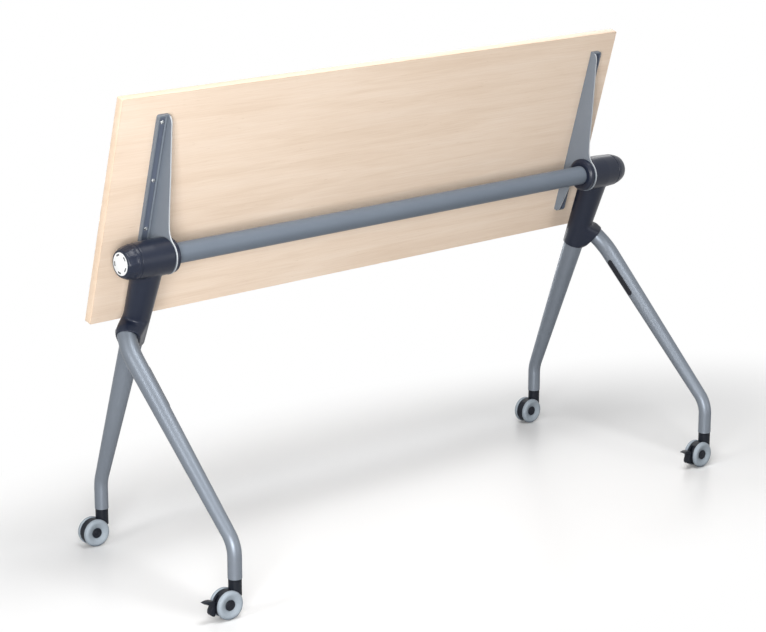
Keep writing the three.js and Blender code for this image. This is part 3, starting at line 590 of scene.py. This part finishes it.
def makeScrews():
    seat = bracket["face"] - bracket["trayThick"] - screws["gap"]
    head, height, shank = screws["head"], screws["headHeight"], screws["shank"]
    tip = top["rise"] + screws["bite"] - screws["gap"]
    dome = [(seat - height * rise, head * width) for rise, width in screws["dome"]]
    master = turnedPiece("screw", [
        (seat - height, 0), *dome, (seat, head), (seat, shank), (tip - screws["point"], shank), (tip, 0)],
        (0, 0, 0), up, smallSides)
    low = up * (seat - height)
    drill(master, low - up * mm, low + up * screws["recessDepth"], screws["recess"], screws["recessSides"])
    roundEdges(master, screws["edge"], 2)
    for sideName, sign in bothSides:
        for number, reach in enumerate(screws["reaches"], 1):
            name = f"bracket_screw_{sideName}_{number}"
            place = topPlace @ Matrix.Translation((sign * screws["x"], -reach, 0))
            screw = copyPiece(master, "fixing_" + name, place)
            dress(screw, zincSteel, "top", "zinc_steel", name)
    bpy.data.objects.remove(master)


for side in bothSides:
    makeBracket(*side)
makeScrews()
print("brackets and screws made")


# beam, pivot bushes, knob and end cap, all turned about the beam's line

beam = lengths(radius=21.2, wall=2.5, half=639.6)
bush = lengths(
    bore=21.5, sleeve=23.1, outerX=609, collarX=605.7, collar=36.5, collarLength=9, nose=30.5, noseLength=4.5,
    edge=0.9)
grip = {  # of the knob and of the cap: mm along, mm radius
    "body": ((0, 35.6), (0.8, 36.4), (6.6, 35.4), (7.1, 34.7), (7.7, 35.2), (9, 34.8), (15, 33.5)),
    "nose": ((9.5, 31.6), (5.5, 30.2), (2.8, 28.6), (0.9, 26.9), (0, 25.2))}  # back from the face
knob = {
    **lengths(start=689.6, face=719, discRadius=23.4, discThick=1.2, discEdge=0.3, gap=0.3, fluteDepth=0.6,
              fluteInset=0.9, fluteStart=9, fluteEnd=2.8, shaft=8, shaftFoot=651.6, edge=0.24),
    "flutes": 12, "fluteSpan": 8, "fluteSteps": 6}
cap = {**lengths(plug=20, plugStart=675.3, edge=0.6), "dome": ((720.6 * mm, 15.7 * mm), (721 * mm, 0))}
knobSteps = knob["flutes"] * knob["fluteSpan"]


def gripProfile():  # from the housing's end to the flat face
    body = [(knob["start"] + along * mm, radius * mm) for along, radius in grip["body"]]
    return body + [(knob["face"] - back * mm, radius * mm) for back, radius in grip["nose"]]


def makeBeam():
    half, outer = beam["half"], beam["radius"]
    bore = outer - beam["wall"]
    profile = [(-half, bore), (-half, outer), (half, outer), (half, bore), (-half, bore)]
    tube = turnedPiece("beamTube", profile, beamMiddle, (1, 0, 0))
    dress(tube, greyPaint, "frame", "grey_paint", "beam_tube")


def makeBush(sideName, sign):
    outer, seat, bore, collar = bush["outerX"], bush["collarX"], bush["bore"], bush["collar"]
    collarEnd = seat - bush["collarLength"]
    noseEnd = collarEnd - bush["noseLength"]
    piece = turnedPiece("bush_" + sideName, [
        (outer, bore), (outer, bush["sleeve"]), (seat, bush["sleeve"]), (seat, collar), (collarEnd, collar),
        (noseEnd, bush["nose"]), (noseEnd, bore), (outer, bore)], beamMiddle, (sign, 0, 0))
    roundEdges(piece, bush["edge"])
    dress(piece, housingPlastic, "top", "dark_plastic", "pivot_bush_" + sideName)


def makeKnob():
    face, foot, shaft = knob["face"], knob["shaftFoot"], knob["shaft"]
    floor = face - knob["discThick"] - knob["gap"]
    rim = knob["discRadius"] + knob["gap"]
    piece = turnedPiece("knobGrip", [
        (foot, 0), (foot, shaft), (knob["start"], shaft), *gripProfile(), (face, rim), (floor, rim),
        (floor, 0)], beamMiddle, (-1, 0, 0), knobSteps)
    editMode("FACE")

    def inFlute(part):
        offset = part.center - beamMiddle
        angle = math.degrees(math.atan2(offset.z, offset.y)) % 360
        step = int(angle / 360 * knobSteps)
        outside = math.hypot(offset.y, offset.z) > rim + mm
        inLength = knob["start"] + knob["fluteStart"] < -offset.x < face - knob["fluteEnd"]
        return outside and inLength and step % knob["fluteSpan"] < knob["fluteSteps"]

    pick(piece, "FACE", inFlute)
    bpy.ops.mesh.inset(thickness=knob["fluteInset"])
    bpy.ops.transform.shrink_fatten(value=-knob["fluteDepth"])
    objectMode()
    roundEdges(piece, knob["edge"], 2, 38)
    dress(piece, housingPlastic, "knob", "dark_plastic", "release_knob")


def makeDisc():
    face, radius = knob["face"], knob["discRadius"]
    back = face - knob["discThick"]
    profile = [(back, 0), (back, radius), (face, radius), (face, 0)]
    disc = turnedPiece("knobDisc", profile, beamMiddle, (-1, 0, 0))
    roundEdges(disc, knob["discEdge"], 3)
    dress(disc, discFinish(), "knob", "white_plastic", "knob_face")


discLook = {
    "pale": paint(240, 241, 241), "white": paint(246, 247, 247), "mark": paint(52, 56, 62), "ring": 18.6 * mm,
    "width": 3.4 * mm, "dashes": 5, "dashShare": 0.42, "dashStart": 10.3, "rough": (0.3, 0.38), "grain": 900}


def discFinish():  # white disc with a ring of plain dashes
    finish, shader = newFinish("discWhite")
    split = addNode(finish, "ShaderNodeSeparateXYZ", {"Vector": mappedPlace(finish, Location=-beamMiddle)})
    y, z = split.outputs["Y"], split.outputs["Z"]
    squares = [mathOn(finish, "MULTIPLY", part, part) for part in (y, z)]
    radius = mathOn(finish, "SQRT", mathOn(finish, "ADD", *squares))
    away = mathOn(finish, "ABSOLUTE", mathOn(finish, "SUBTRACT", radius, discLook["ring"]))
    onRing = mathOn(finish, "LESS_THAN", away, discLook["width"] / 2)
    turns = mathOn(finish, "MULTIPLY", mathOn(finish, "ARCTAN2", z, y), discLook["dashes"] / (2 * math.pi))
    share = mathOn(finish, "FRACT", mathOn(finish, "ADD", turns, discLook["dashStart"]))
    dash = mathOn(finish, "LESS_THAN", share, discLook["dashShare"])
    grain = noiseOn(finish, discLook["grain"], detail=2)
    pale = rampOn(finish, grain, [(0.3, discLook["pale"]), (0.7, discLook["white"])])
    mark = mathOn(finish, "MULTIPLY", onRing, dash)
    feed(finish, shader, {
        "Base Color": blendColors(finish, mark, pale, discLook["mark"]),
        "Roughness": rangeOn(finish, grain, *discLook["rough"])})
    return finish


def makeCap():
    foot, plug = cap["plugStart"], cap["plug"]
    profile = [(foot, 0), (foot, plug), (knob["start"], plug), *gripProfile(), *cap["dome"]]
    piece = turnedPiece("endCap", profile, beamMiddle, (1, 0, 0))
    roundEdges(piece, cap["edge"], 3, 25)
    dress(piece, housingPlastic, "frame", "dark_plastic", "end_cap")


makeBeam()
for side in bothSides:
    makeBush(*side)
makeKnob()
makeDisc()
makeCap()
print("beam, bushes, knob and cap made")


# legs: bent tubes that widen towards the housing

legs = {
    **lengths(footHeight=76.8, footRadius=14.4, wall=2.2, insert=17, rearX=648, rearBendHeight=136,
              rearBend=80, rearTop=23.2, frontX=695, frontBendHeight=145, frontBend=60, frontTopY=10,
              frontTopDrop=182, frontTopBend=150, frontReach=30, frontTop=20.4, columnLength=192),
    "rearLean": 20.2, "frontLean": 45.4, "frontTopTurn": 20}
bumper = {**lengths(height=399, length=100, width=13, thick=1.8, sink=1.4, gap=0.3, edge=0.6), "sides": 48}

beamHeight = beamMiddle.z
rearLean, frontLean = math.radians(legs["rearLean"]), math.radians(legs["frontLean"])
rearUp = Vector((0, -math.sin(rearLean), math.cos(rearLean)))
frontUp = Vector((0, math.sin(frontLean), math.cos(frontLean)))


def spot(x, y, z):  # from the middle of the beam, and up from the floor
    return Vector((beamMiddle.x + x, beamMiddle.y + y, z))


def columnSpot(sign, along):  # down the column from the beam's line
    return spot(sign * legs["rearX"], 0, beamHeight) - rearUp * along


def frontLegLine(sign):
    drop = beamHeight - legs["frontTopDrop"]
    topCorner = spot(sign * legs["frontX"], legs["frontTopY"], drop)
    rise = (drop - legs["frontBendHeight"]) / frontUp.z
    footCorner = topCorner - frontUp * rise
    turn = math.radians(legs["frontTopTurn"])
    inward = frontUp * math.cos(turn) - right * (sign * math.sin(turn))
    rim = topCorner + inward * legs["frontReach"]
    return footCorner, topCorner, inward, rim


def drawOut(here, there, grow=1, steps=1):
    for step in range(steps):
        extrude((there - here) / steps)
        middle = here + (there - here) * (step + 1) / steps
        factor = (1 + (grow - 1) * (step + 1) / steps) / (1 + (grow - 1) * step / steps)
        bpy.ops.transform.resize(value=(factor, factor, factor), center_override=middle)
    return there


def bendRound(here, direction, toward, radius, turn, steps):
    centre = here + toward * radius
    axis = direction.cross(toward).normalized()
    bpy.ops.mesh.spin(steps=steps, angle=-turn, center=centre, axis=axis)
    swing = Matrix.Rotation(turn, 3, axis)
    return centre + swing @ (here - centre)


def startTube(name, corner, toward, bend, lean, steps):  # up from the foot and round its bend
    foot = Vector((corner.x, corner.y, legs["footHeight"]))
    tube = hoop(name, legs["footRadius"], roundSides, location=foot)
    editAll(tube)
    here = drawOut(foot, corner - up * (bend * math.tan(lean / 2)))
    return tube, bendRound(here, up, toward, bend, lean, steps)


def finishTube(tube):
    cleanShell()
    applyModifier(tube, "SOLIDIFY", thickness=legs["wall"], offset=-1)


def makeRearLeg(sideName, sign):
    end = columnSpot(sign, legs["columnLength"] - legs["insert"])
    back = (beamHeight - legs["rearBendHeight"]) * math.tan(rearLean)
    corner = spot(sign * legs["rearX"], back, legs["rearBendHeight"])
    tube, here = startTube("legTube_rear_" + sideName, corner, -alongY, legs["rearBend"], rearLean, 10)
    drawOut(here, end, legs["rearTop"] / legs["footRadius"], 24)
    finishTube(tube)
    dress(tube, silverPaint, "frame", "silver_paint", "rear_leg_" + sideName)


def bumperPlace(sign, footCorner, topCorner):
    rise = (bumper["height"] - footCorner.z) / (topCorner.z - footCorner.z)
    middle = footCorner.lerp(topCorner, rise)
    radius = legs["footRadius"] + (legs["frontTop"] - legs["footRadius"]) * rise
    inward = right * -sign
    spread = (legs["frontTop"] - legs["footRadius"]) / (topCorner - footCorner).length
    along = (frontUp + inward * spread).normalized()
    out = (inward - along * inward.dot(along)).normalized()
    across = out.cross(along)
    turn = Matrix((along, across, out)).transposed().to_4x4()
    return Matrix.Translation(middle + inward * radius) @ turn


def stadium(name, length, width, low, high):
    pad = hoop(name, width / 2, bumper["sides"], fill_type="NGON", location=up * low)
    run = (length - width) / 2
    editMode()
    for end in (-1, 1):
        pick(pad, "VERT", lambda part: part.co.x * end > near)
        bpy.ops.transform.translate(value=(end * run, 0, 0))
    selectAll()
    extrude((0, 0, high - low))
    cleanShell()
    return pad


def makeFrontLeg(sideName, sign):
    footCorner, topCorner, inward, rim = frontLegLine(sign)
    end = rim + inward * legs["insert"]
    turn = math.radians(legs["frontTopTurn"])
    topReach = legs["frontTopBend"] * math.tan(turn / 2)
    tube, here = startTube("legTube_front_" + sideName, footCorner, alongY, legs["frontBend"], frontLean, 14)
    bendStart = topCorner - frontUp * topReach
    run = (bendStart - here).length
    share = run / (run + (end - topCorner).length + topReach)
    bendRadius = legs["footRadius"] + (legs["frontTop"] - legs["footRadius"]) * share
    here = drawOut(here, bendStart, bendRadius / legs["footRadius"], 30)
    here = bendRound(here, frontUp, right * -sign, legs["frontTopBend"], turn, 10)
    drawOut(here, end, legs["frontTop"] / bendRadius, 4)
    finishTube(tube)
    place = bumperPlace(sign, footCorner, topCorner)
    length, width, sink = bumper["length"], bumper["width"], bumper["sink"]
    slack = 2 * bumper["gap"]
    pocket = stadium("pocket", length + slack, width + slack, -sink, width)
    combine(tube, settle(pocket, place))
    dress(tube, silverPaint, "frame", "silver_paint", "front_leg_" + sideName)
    seat = bumper["gap"] - sink
    pad = stadium("bumperPad_" + sideName, length, width, seat, seat + bumper["thick"])
    roundEdges(pad, bumper["edge"], 4)
    settle(pad, place)
    dress(pad, padRubber, "frame", "black_rubber", "leg_bumper_" + sideName)


for side in bothSides:
    makeRearLeg(*side)
    makeFrontLeg(*side)
print("legs made")


# housings: barrel, column and the flare that holds the front leg, blended into one moulding

housing = {
    **lengths(inner=609.6, outer=689.3, innerRadius=37.8, outerRadius=36.4, outerEdge=0.8, crown=0.4,
              columnTop=32.5, columnFoot=26, flareRise=58, rimLift=2.5, bulge=7, socketWall=1.9, voxel=1.1,
              spare=8, cavity=27, cavityDepth=39, journal=5.3, journalDepth=7.3, pinBore=5.1, pinBoreDepth=35,
              pinHole=2.8, pinHoleDepth=73.3, mouth=40, overCut=5, gap=0.3),
    "crownShare": 0.55, "rimTilt": 0.26, "rimTurn": 0.7, "flareRounds": 70, "blendRounds": 6}


def trimEnd(piece, at, outward):  # a flat end, nothing left beyond it
    editAll(piece)
    bpy.ops.mesh.bisect(plane_co=at, plane_no=outward, use_fill=True, clear_outer=True)
    objectMode()


def blendForms(name, rounds, *pieces):
    whole = joinPieces(name, *pieces)
    applyModifier(whole, "REMESH", mode="VOXEL", voxel_size=housing["voxel"])
    return applyModifier(whole, "SMOOTH", factor=0.5, iterations=rounds)


def makeHousing(sideName, sign):
    gap, inner, outer = housing["gap"], housing["inner"], housing["outer"]
    columnTop, columnFoot, spare = housing["columnTop"], housing["columnFoot"], housing["spare"]
    innerRadius, outerRadius, outerEdge = housing["innerRadius"], housing["outerRadius"], housing["outerEdge"]
    name, length = "housingShell_" + sideName, legs["columnLength"]
    crownX = inner + (outer - inner) * housing["crownShare"]
    barrel = turnedPiece("housingBarrel", [
        (inner, 0), (inner, innerRadius - mm), (inner + mm, innerRadius),
        (crownX, innerRadius + housing["crown"]), (outer - outerEdge, outerRadius),
        (outer, outerRadius - outerEdge), (outer, 0)], beamMiddle, (sign, 0, 0))
    inward, rim = frontLegLine(sign)[2:]
    end = rim + inward * legs["insert"]

    def radiusAt(along):
        return columnTop + (columnFoot - columnTop) * along / length

    def alongX(x):
        return beamMiddle + right * (sign * x)

    column = hullOf("housingColumn", [
        (columnSpot(sign, 0), rearUp, columnTop),
        (columnSpot(sign, length + spare), rearUp, radiusAt(length + spare))])
    socket = legs["frontTop"] + gap + housing["socketWall"]
    flareAlong = length - housing["flareRise"]
    between = (inward + rearUp).normalized()
    flare = hullOf("housingFlare", [
        (rim - inward * spare, inward, socket),
        (end + inward * (gap + housing["socketWall"]), inward, socket),
        (columnSpot(sign, flareAlong), rearUp, radiusAt(flareAlong) - gap),
        ((rim + columnSpot(sign, length)) / 2 - between * housing["bulge"], between, socket),
        (columnSpot(sign, length - gap), rearUp, columnFoot - gap)])
    shell = blendForms(name, housing["flareRounds"], column, flare)
    trimEnd(shell, columnSpot(sign, length), -rearUp)
    outerBack = Vector((sign, housing["rimTurn"], 0)).normalized()
    outerBack = (outerBack - inward * outerBack.dot(inward)).normalized()
    trimEnd(shell, rim + inward * housing["rimLift"], (outerBack * housing["rimTilt"] - inward).normalized())
    shell = blendForms(name, housing["blendRounds"], barrel, shell)
    mouth, before, after = housing["mouth"], inner - housing["overCut"], outer + housing["overCut"]
    rearEnd = columnSpot(sign, length - legs["insert"] - gap)
    cuts = [  # start, end, radius and, where it is not small, sides
        (columnSpot(sign, length + mouth), rearEnd, legs["rearTop"] + gap, roundSides),
        (rim - inward * mouth, end + inward * gap, legs["frontTop"] + gap, roundSides),
        (alongX(before), alongX(beam["half"] + gap), beam["radius"] + gap, roundSides)]
    if sideName == "left":
        floor, pinUp = outer - housing["cavityDepth"], up * bracket["lockOrbit"]
        cuts += [
            (alongX(floor), alongX(after), housing["cavity"], roundSides),
            (alongX(floor - housing["journalDepth"]), alongX(floor + mm), housing["journal"])]
        for bore in ("pinBore", "pinHole"):
            pinEnd = alongX(inner + housing[bore + "Depth"]) + pinUp
            cuts.append((alongX(before) + pinUp, pinEnd, housing[bore]))
    else:
        cuts.append((alongX(cap["plugStart"] - gap), alongX(after), cap["plug"] + gap, roundSides))
    for cut in cuts:
        drill(shell, *cut, solver="MANIFOLD")
    dress(shell, housingPlastic, "frame", "dark_plastic", "housing_" + sideName, smooth=40)


for side in bothSides:
    makeHousing(*side)
print("housings made")


# casters: modelled once with the stem on the Z axis and the axle along Y, then set at each corner

caster = lengths(
    trail=21, axle=3, gap=0.3, hood=27.4, hoodHalf=8.4, neck=13.4, neckFoot=42, neckTop=74.1, stem=5.3,
    stemFoot=56.7, clear=0.8, cutHalf=20, overCut=5, edge=0.5)
wheel = {
    **lengths(radius=29.2, inner=8.8, outer=18.4, dish=5.6, edge=0.3),
    "tread": ((0, 2.4), (0.5, 0.9), (1.6, 0), (4.6, 0)),  # mm from the inner face, mm below the tread
    "shoulder": ((3, 0.7), (1.5, 2), (0.4, 3.8), (0, 6), (0.3, 7.8), (1.2, 10)),  # from the outer face
    "slope": ((2.6, 5.2), (4.2, 2.6)),  # mm from the outer face, mm outside the hub cap
    "sides": 72}
hubCap = {
    **lengths(radius=10.8, height=2.6, edge=0.25, side=1.2, crown=0.3), "sides": 48,
    "face": ((0.1, 0.62), (0.7, 0.56), (0.7, 0.42), (0, 0.36), (0, 0))}  # mm below its top, share of radius
sleeve = lengths(flange=13.6, flangeFoot=74.4, flangeTop=76.5, plug=11.9, top=106.8, edge=0.5)
pedal = {
    **lengths(pivotBack=22, pivotRise=2, pin=2.4, hub=5, slotHalf=3.2, half=7, cutHalf=10, edge=0.9),
    "beakStart": (-7.2, 9),  # the beak is drawn in mm
    "beak": (((-18, 16.5), (-34, 11.5)), ((-22, 6.5), (-14.5, 2)), ((-15.5, -2), (-18, -6)),
             ((-20.5, -14), (-15, -18)), ((-8.6, -21.4), (-7.6, -15)))}  # each curve's control and end
axleSpot = Vector((-caster["trail"], 0, wheel["radius"]))
pedalSpot = axleSpot + Vector((-pedal["pivotBack"], 0, pedal["pivotRise"]))


def makeWheel(side):
    radius, inner, outer, hub = wheel["radius"], wheel["inner"], wheel["outer"], hubCap["radius"]
    floor, bore = outer - wheel["dish"], caster["axle"] + caster["gap"]
    profile = [(inner, bore)]
    profile += [(inner + out * mm, radius - below * mm) for out, below in wheel["tread"]]
    profile += [(outer - back * mm, radius - below * mm) for back, below in wheel["shoulder"]]
    profile += [(outer - back * mm, hub + out * mm) for back, out in wheel["slope"]]
    profile += [(floor, hub + caster["gap"]), (floor, bore), (inner, bore)]
    piece = turnedPiece("wheel", profile, axleSpot, alongY * side, wheel["sides"])
    return roundEdges(piece, wheel["edge"], 2, 40)


def makeHubCap(side):
    seat, radius = wheel["outer"] - wheel["dish"] + caster["gap"], hubCap["radius"]
    crown = seat + hubCap["height"]
    profile = [(seat, 0), (seat, radius), (crown - hubCap["side"], radius)]
    profile += [(crown - hubCap["crown"], radius - hubCap["side"])]
    profile += [(crown - below * mm, radius * share) for below, share in hubCap["face"]]
    piece = turnedPiece("hubCap", profile, axleSpot, alongY * side, hubCap["sides"])
    return roundEdges(piece, hubCap["edge"], 3, 25)


def makeSleeve():
    bore, flange, plug = caster["stem"], sleeve["flange"], sleeve["plug"]
    foot, middle, end = sleeve["flangeFoot"], sleeve["flangeTop"], sleeve["top"]
    profile = [(foot, bore), (foot, flange), (middle, flange), (middle, plug), (end, plug), (end, bore)]
    profile.append(profile[0])
    return roundEdges(turnedPiece("sleeve", profile, (0, 0, 0), up, roundSides), sleeve["edge"])


def makeHood(braked):
    half, wide = alongY * caster["hoodHalf"], alongY * caster["cutHalf"]
    room = wheel["radius"] + caster["clear"]
    neck = rod("hood", up * caster["neckFoot"], up * caster["neckTop"], caster["neck"], roundSides)
    for side in (-1, 1):
        drill(neck, axleSpot + half * side, axleSpot + wide * side, room, fineSides)
    combine(neck, rod("disc", axleSpot - half, axleSpot + half, caster["hood"], fineSides), "UNION")
    drill(neck, up * caster["stemFoot"], up * (caster["neckTop"] + caster["overCut"]), caster["stem"])
    drill(neck, axleSpot - wide, axleSpot + wide, caster["axle"] + caster["gap"])
    if braked:
        slot = slab("slot", (pedalSpot.x - caster["hood"], -pedal["slotHalf"], -mm),
                    (pedalSpot.x + pedal["hub"] + caster["gap"], pedal["slotHalf"], 2 * wheel["radius"]))
        combine(neck, slot)
        reach = alongY * (caster["hoodHalf"] - caster["gap"])
        combine(neck, rod("pin", pedalSpot - reach, pedalSpot + reach, pedal["pin"]), "UNION")
    return roundEdges(neck, caster["edge"], 3, 40)


def makePedal():
    hub = pedal["hub"]
    hubPoints = [*arcPoints(hub, -90, 90, 24), (-2 * hub, hub), (-2 * hub, -hub)]
    beak = [Vector(pedal["beakStart"]) * mm]
    for control, end in pedal["beak"]:
        beak += curvePoints(beak[-1], Vector(control) * mm, Vector(end) * mm, 10)
    plates = []
    for points, half in ((beak, pedal["half"]), (hubPoints, pedal["slotHalf"] - caster["gap"])):
        plate = outlinePlate("pedal", points, 2 * half)
        plates.append(settle(plate, Matrix.Translation(right * -half)))
    whole = combine(*plates, "UNION")
    reach = right * pedal["cutHalf"]
    drill(whole, -reach, reach, pedal["pin"] + caster["gap"])
    roundEdges(whole, pedal["edge"], 3, 40)
    turn = Matrix(((0, 1, 0), (1, 0, 0), (0, 0, 1)))  # outline's first axis to X
    whole.data.transform(Matrix.Translation(pedalSpot) @ turn.to_4x4())
    editAll(whole)
    cleanShell()
    return whole


def cornerPlace(corner):
    stem = jointAt["swivel_" + corner]
    axle = jointAxis[f"roll_{corner}_1"]
    heading = math.atan2(-axle.x, axle.y)
    return Matrix.Translation((stem.x, stem.y, 0)) @ Matrix.Rotation(heading, 4, "Z")


def makeCasters():
    wheelSides = {1: 1, 2: -1}
    wheels = {number: makeWheel(side) for number, side in wheelSides.items()}
    hubCaps = {number: makeHubCap(side) for number, side in wheelSides.items()}
    hoods = {braked: makeHood(braked) for braked in (True, False)}
    sleeveMaster, pedalMaster = makeSleeve(), makePedal()
    for corner in corners:
        place = cornerPlace(corner)
        braked = corner.startswith("front")
        plug = copyPiece(sleeveMaster, "footSleeve_" + corner, place)
        dress(plug, casterPlastic, "frame", "black_plastic", "caster_sleeve_" + corner)
        hood = copyPiece(hoods[braked], "casterHousing_" + corner, place)
        dress(hood, casterPlastic, "caster_" + corner, "black_plastic", "caster_hood_" + corner)
        for number in wheelSides:
            wheelBody = f"wheel_{corner}_{number}_set"
            tyre = copyPiece(wheels[number], f"castorWheel_{corner}_{number}", place)
            dress(tyre, tyreGrey, wheelBody, "soft_grey", f"wheel_{corner}_{number}")
            hub = copyPiece(hubCaps[number], f"wheelHub_{corner}_{number}", place)
            dress(hub, casterPlastic, wheelBody, "black_plastic", f"hub_cap_{corner}_{number}")
        if braked:
            lever = copyPiece(pedalMaster, "brakeLever_" + corner, place)
            dress(lever, casterPlastic, "brake_" + corner, "black_plastic", "brake_pedal_" + corner)
    for master in (*wheels.values(), *hubCaps.values(), *hoods.values(), sleeveMaster, pedalMaster):
        bpy.data.objects.remove(master)


makeCasters()
print("casters made")


# lock spring: a coil that in the real lock shortens as the pin is drawn back; here it is built at one length

spring = {**lengths(wire=0.6, radius=3.7, draw=6), "turns": 6, "steps": 24, "sides": 12}


def makeSpring():
    low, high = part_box("lock_spring")
    length = high.x - low.x
    middle = (low + high) / 2
    wireRadius, turns, steps = spring["wire"], spring["turns"], spring["steps"]
    coil = hoop("lockCoil", wireRadius, spring["sides"])
    settle(coil, Matrix.Translation((0, 0, spring["radius"])) @ Matrix.Rotation(math.pi / 2, 4, "X"))
    pitch = (length - 2 * wireRadius) / turns
    applyModifier(
        coil, "SCREW", axis="X", screw_offset=pitch, iterations=turns, steps=steps, render_steps=steps)
    editAll(coil)
    bpy.ops.mesh.fill_holes(sides=0)  # the wire's two ends
    cleanShell()
    settle(coil, Matrix.Translation((low.x + wireRadius, middle.y, middle.z)))
    dress(coil, zincSteel, "frame", "zinc_steel", "lock_spring")
    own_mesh(coil)


makeSpring()


# working pieces kept from the frame get the zinc finish

for name, node in frame["nodes"].items():
    if name.startswith(("lock_pin", "caster_stem", "axle")):
        node.data.materials.clear()
        node.data.materials.append(zincSteel)
print("working pieces finished")


# floor, light and camera

stage = {
    "floorSize": 60, "floor": paint(238, 238, 238), "bounce": paint(120, 120, 120), "rough": 0.32,
    "specular": 0.15, "reach": (0.95, 0.45, 1), "whiteFrom": 1, "whiteTo": 1.8,
    "worldFill": 0.13, "worldSeen": 1}


def floorFinish():  # pale near the object, plain white further out for the camera and reflections
    finish, shader = newFinish("paleFloor")
    glow = addNode(finish, "ShaderNodeEmission", {"Color": white, "Strength": 1})
    squeezed = mappedPlace(finish, Scale=[1 / reach for reach in stage["reach"]])
    distance = addNode(finish, "ShaderNodeVectorMath", {0: squeezed}, operation="LENGTH")
    far = addNode(finish, "ShaderNodeMapRange", {
        "Value": distance.outputs["Value"], "From Min": stage["whiteFrom"], "From Max": stage["whiteTo"]},
        interpolation_type="SMOOTHSTEP")
    seen = seenDirectly(finish)
    feed(finish, shader, {  # a darker floor for the light that it throws back
        "Base Color": blendColors(finish, seen, stage["bounce"], stage["floor"]),
        "Roughness": stage["rough"], "Specular IOR Level": stage["specular"]})
    mix = addNode(finish, "ShaderNodeMixShader", {
        "Fac": mathOn(finish, "MULTIPLY", seen, far.outputs["Result"]),
        1: shader.outputs["BSDF"], 2: glow.outputs["Emission"]})
    feed(finish, finish.node_tree.nodes["Material Output"], {"Surface": mix.outputs["Shader"]})
    return finish


def makeFloor():
    floor = newForm("floor", bpy.ops.mesh.primitive_plane_add, size=stage["floorSize"])
    floor.data.materials.append(floorFinish())


def makeWorld():
    world = bpy.data.worlds.new("studio")
    bpy.context.scene.world = world
    world.use_nodes = True
    level = addNode(world, "ShaderNodeMapRange", {
        "Value": seenDirectly(world), "To Min": stage["worldFill"], "To Max": stage["worldSeen"]})
    background = world.node_tree.nodes["Background"]
    feed(world, background, {"Color": white, "Strength": level.outputs["Result"]})


lamps = {
    "overhead": {"at": (-0.2, -0.6, 3.2), "aim": (0, 0, 0), "size": 1.4, "power": 56},
    "frontLeft": {"at": (-2.8, -2.5, 1.1), "aim": (-0.1, 0, 0.6), "size": 1.5, "power": 136},
    "leftSide": {"at": (-3.2, -0.1, 1.9), "aim": (-0.3, 0, 0.4), "size": 0.8, "power": 19},
    "frontRight": {"at": (1.4, -3, 1), "aim": (0.4, 0, 0.7), "size": 1.5, "power": 14},
    "backRight": {"at": (2.8, 2.2, 2.4), "aim": (0.2, 0, 0.4), "size": 1.6, "power": 22},
    "back": {"at": (0.3, 4, 0.8), "aim": (0, 0.1, 1.15), "size": 1.2, "power": 8, "spread": 50}}


def makeLamp(name, lamp):
    bpy.ops.object.light_add(type="AREA", location=lamp["at"])
    light = bpy.context.object
    light.name = name
    light.data.size = lamp["size"]
    light.data.energy = lamp["power"]
    light.data.spread = math.radians(lamp.get("spread", 180))
    aim = Vector(lamp["aim"]) - Vector(lamp["at"])
    light.rotation_euler = aim.to_track_quat("-Z", "Y").to_euler()


view = {
    "at": (-3.36128, -3.63399, 1.74462), "yaw": -42.31, "pitch": 75.14, "roll": 0.1, "lens": 111.85,
    "sensor": 36}


def makeCamera():
    bpy.ops.object.camera_add(location=view["at"])
    camera = bpy.context.object
    camera.data.sensor_width = view["sensor"]
    camera.data.lens = view["lens"]
    turn = Matrix.Identity(3)
    for name, axis in (("yaw", "Z"), ("pitch", "X"), ("roll", "Z")):
        turn = turn @ Matrix.Rotation(math.radians(view[name]), 3, axis)
    camera.rotation_euler = turn.to_euler()
    bpy.context.scene.camera = camera


makeFloor()
makeWorld()
for lampName, lampValues in lamps.items():
    makeLamp(lampName, lampValues)
makeCamera()
bpy.context.scene.view_settings.view_transform = "Standard"
print("stage set")
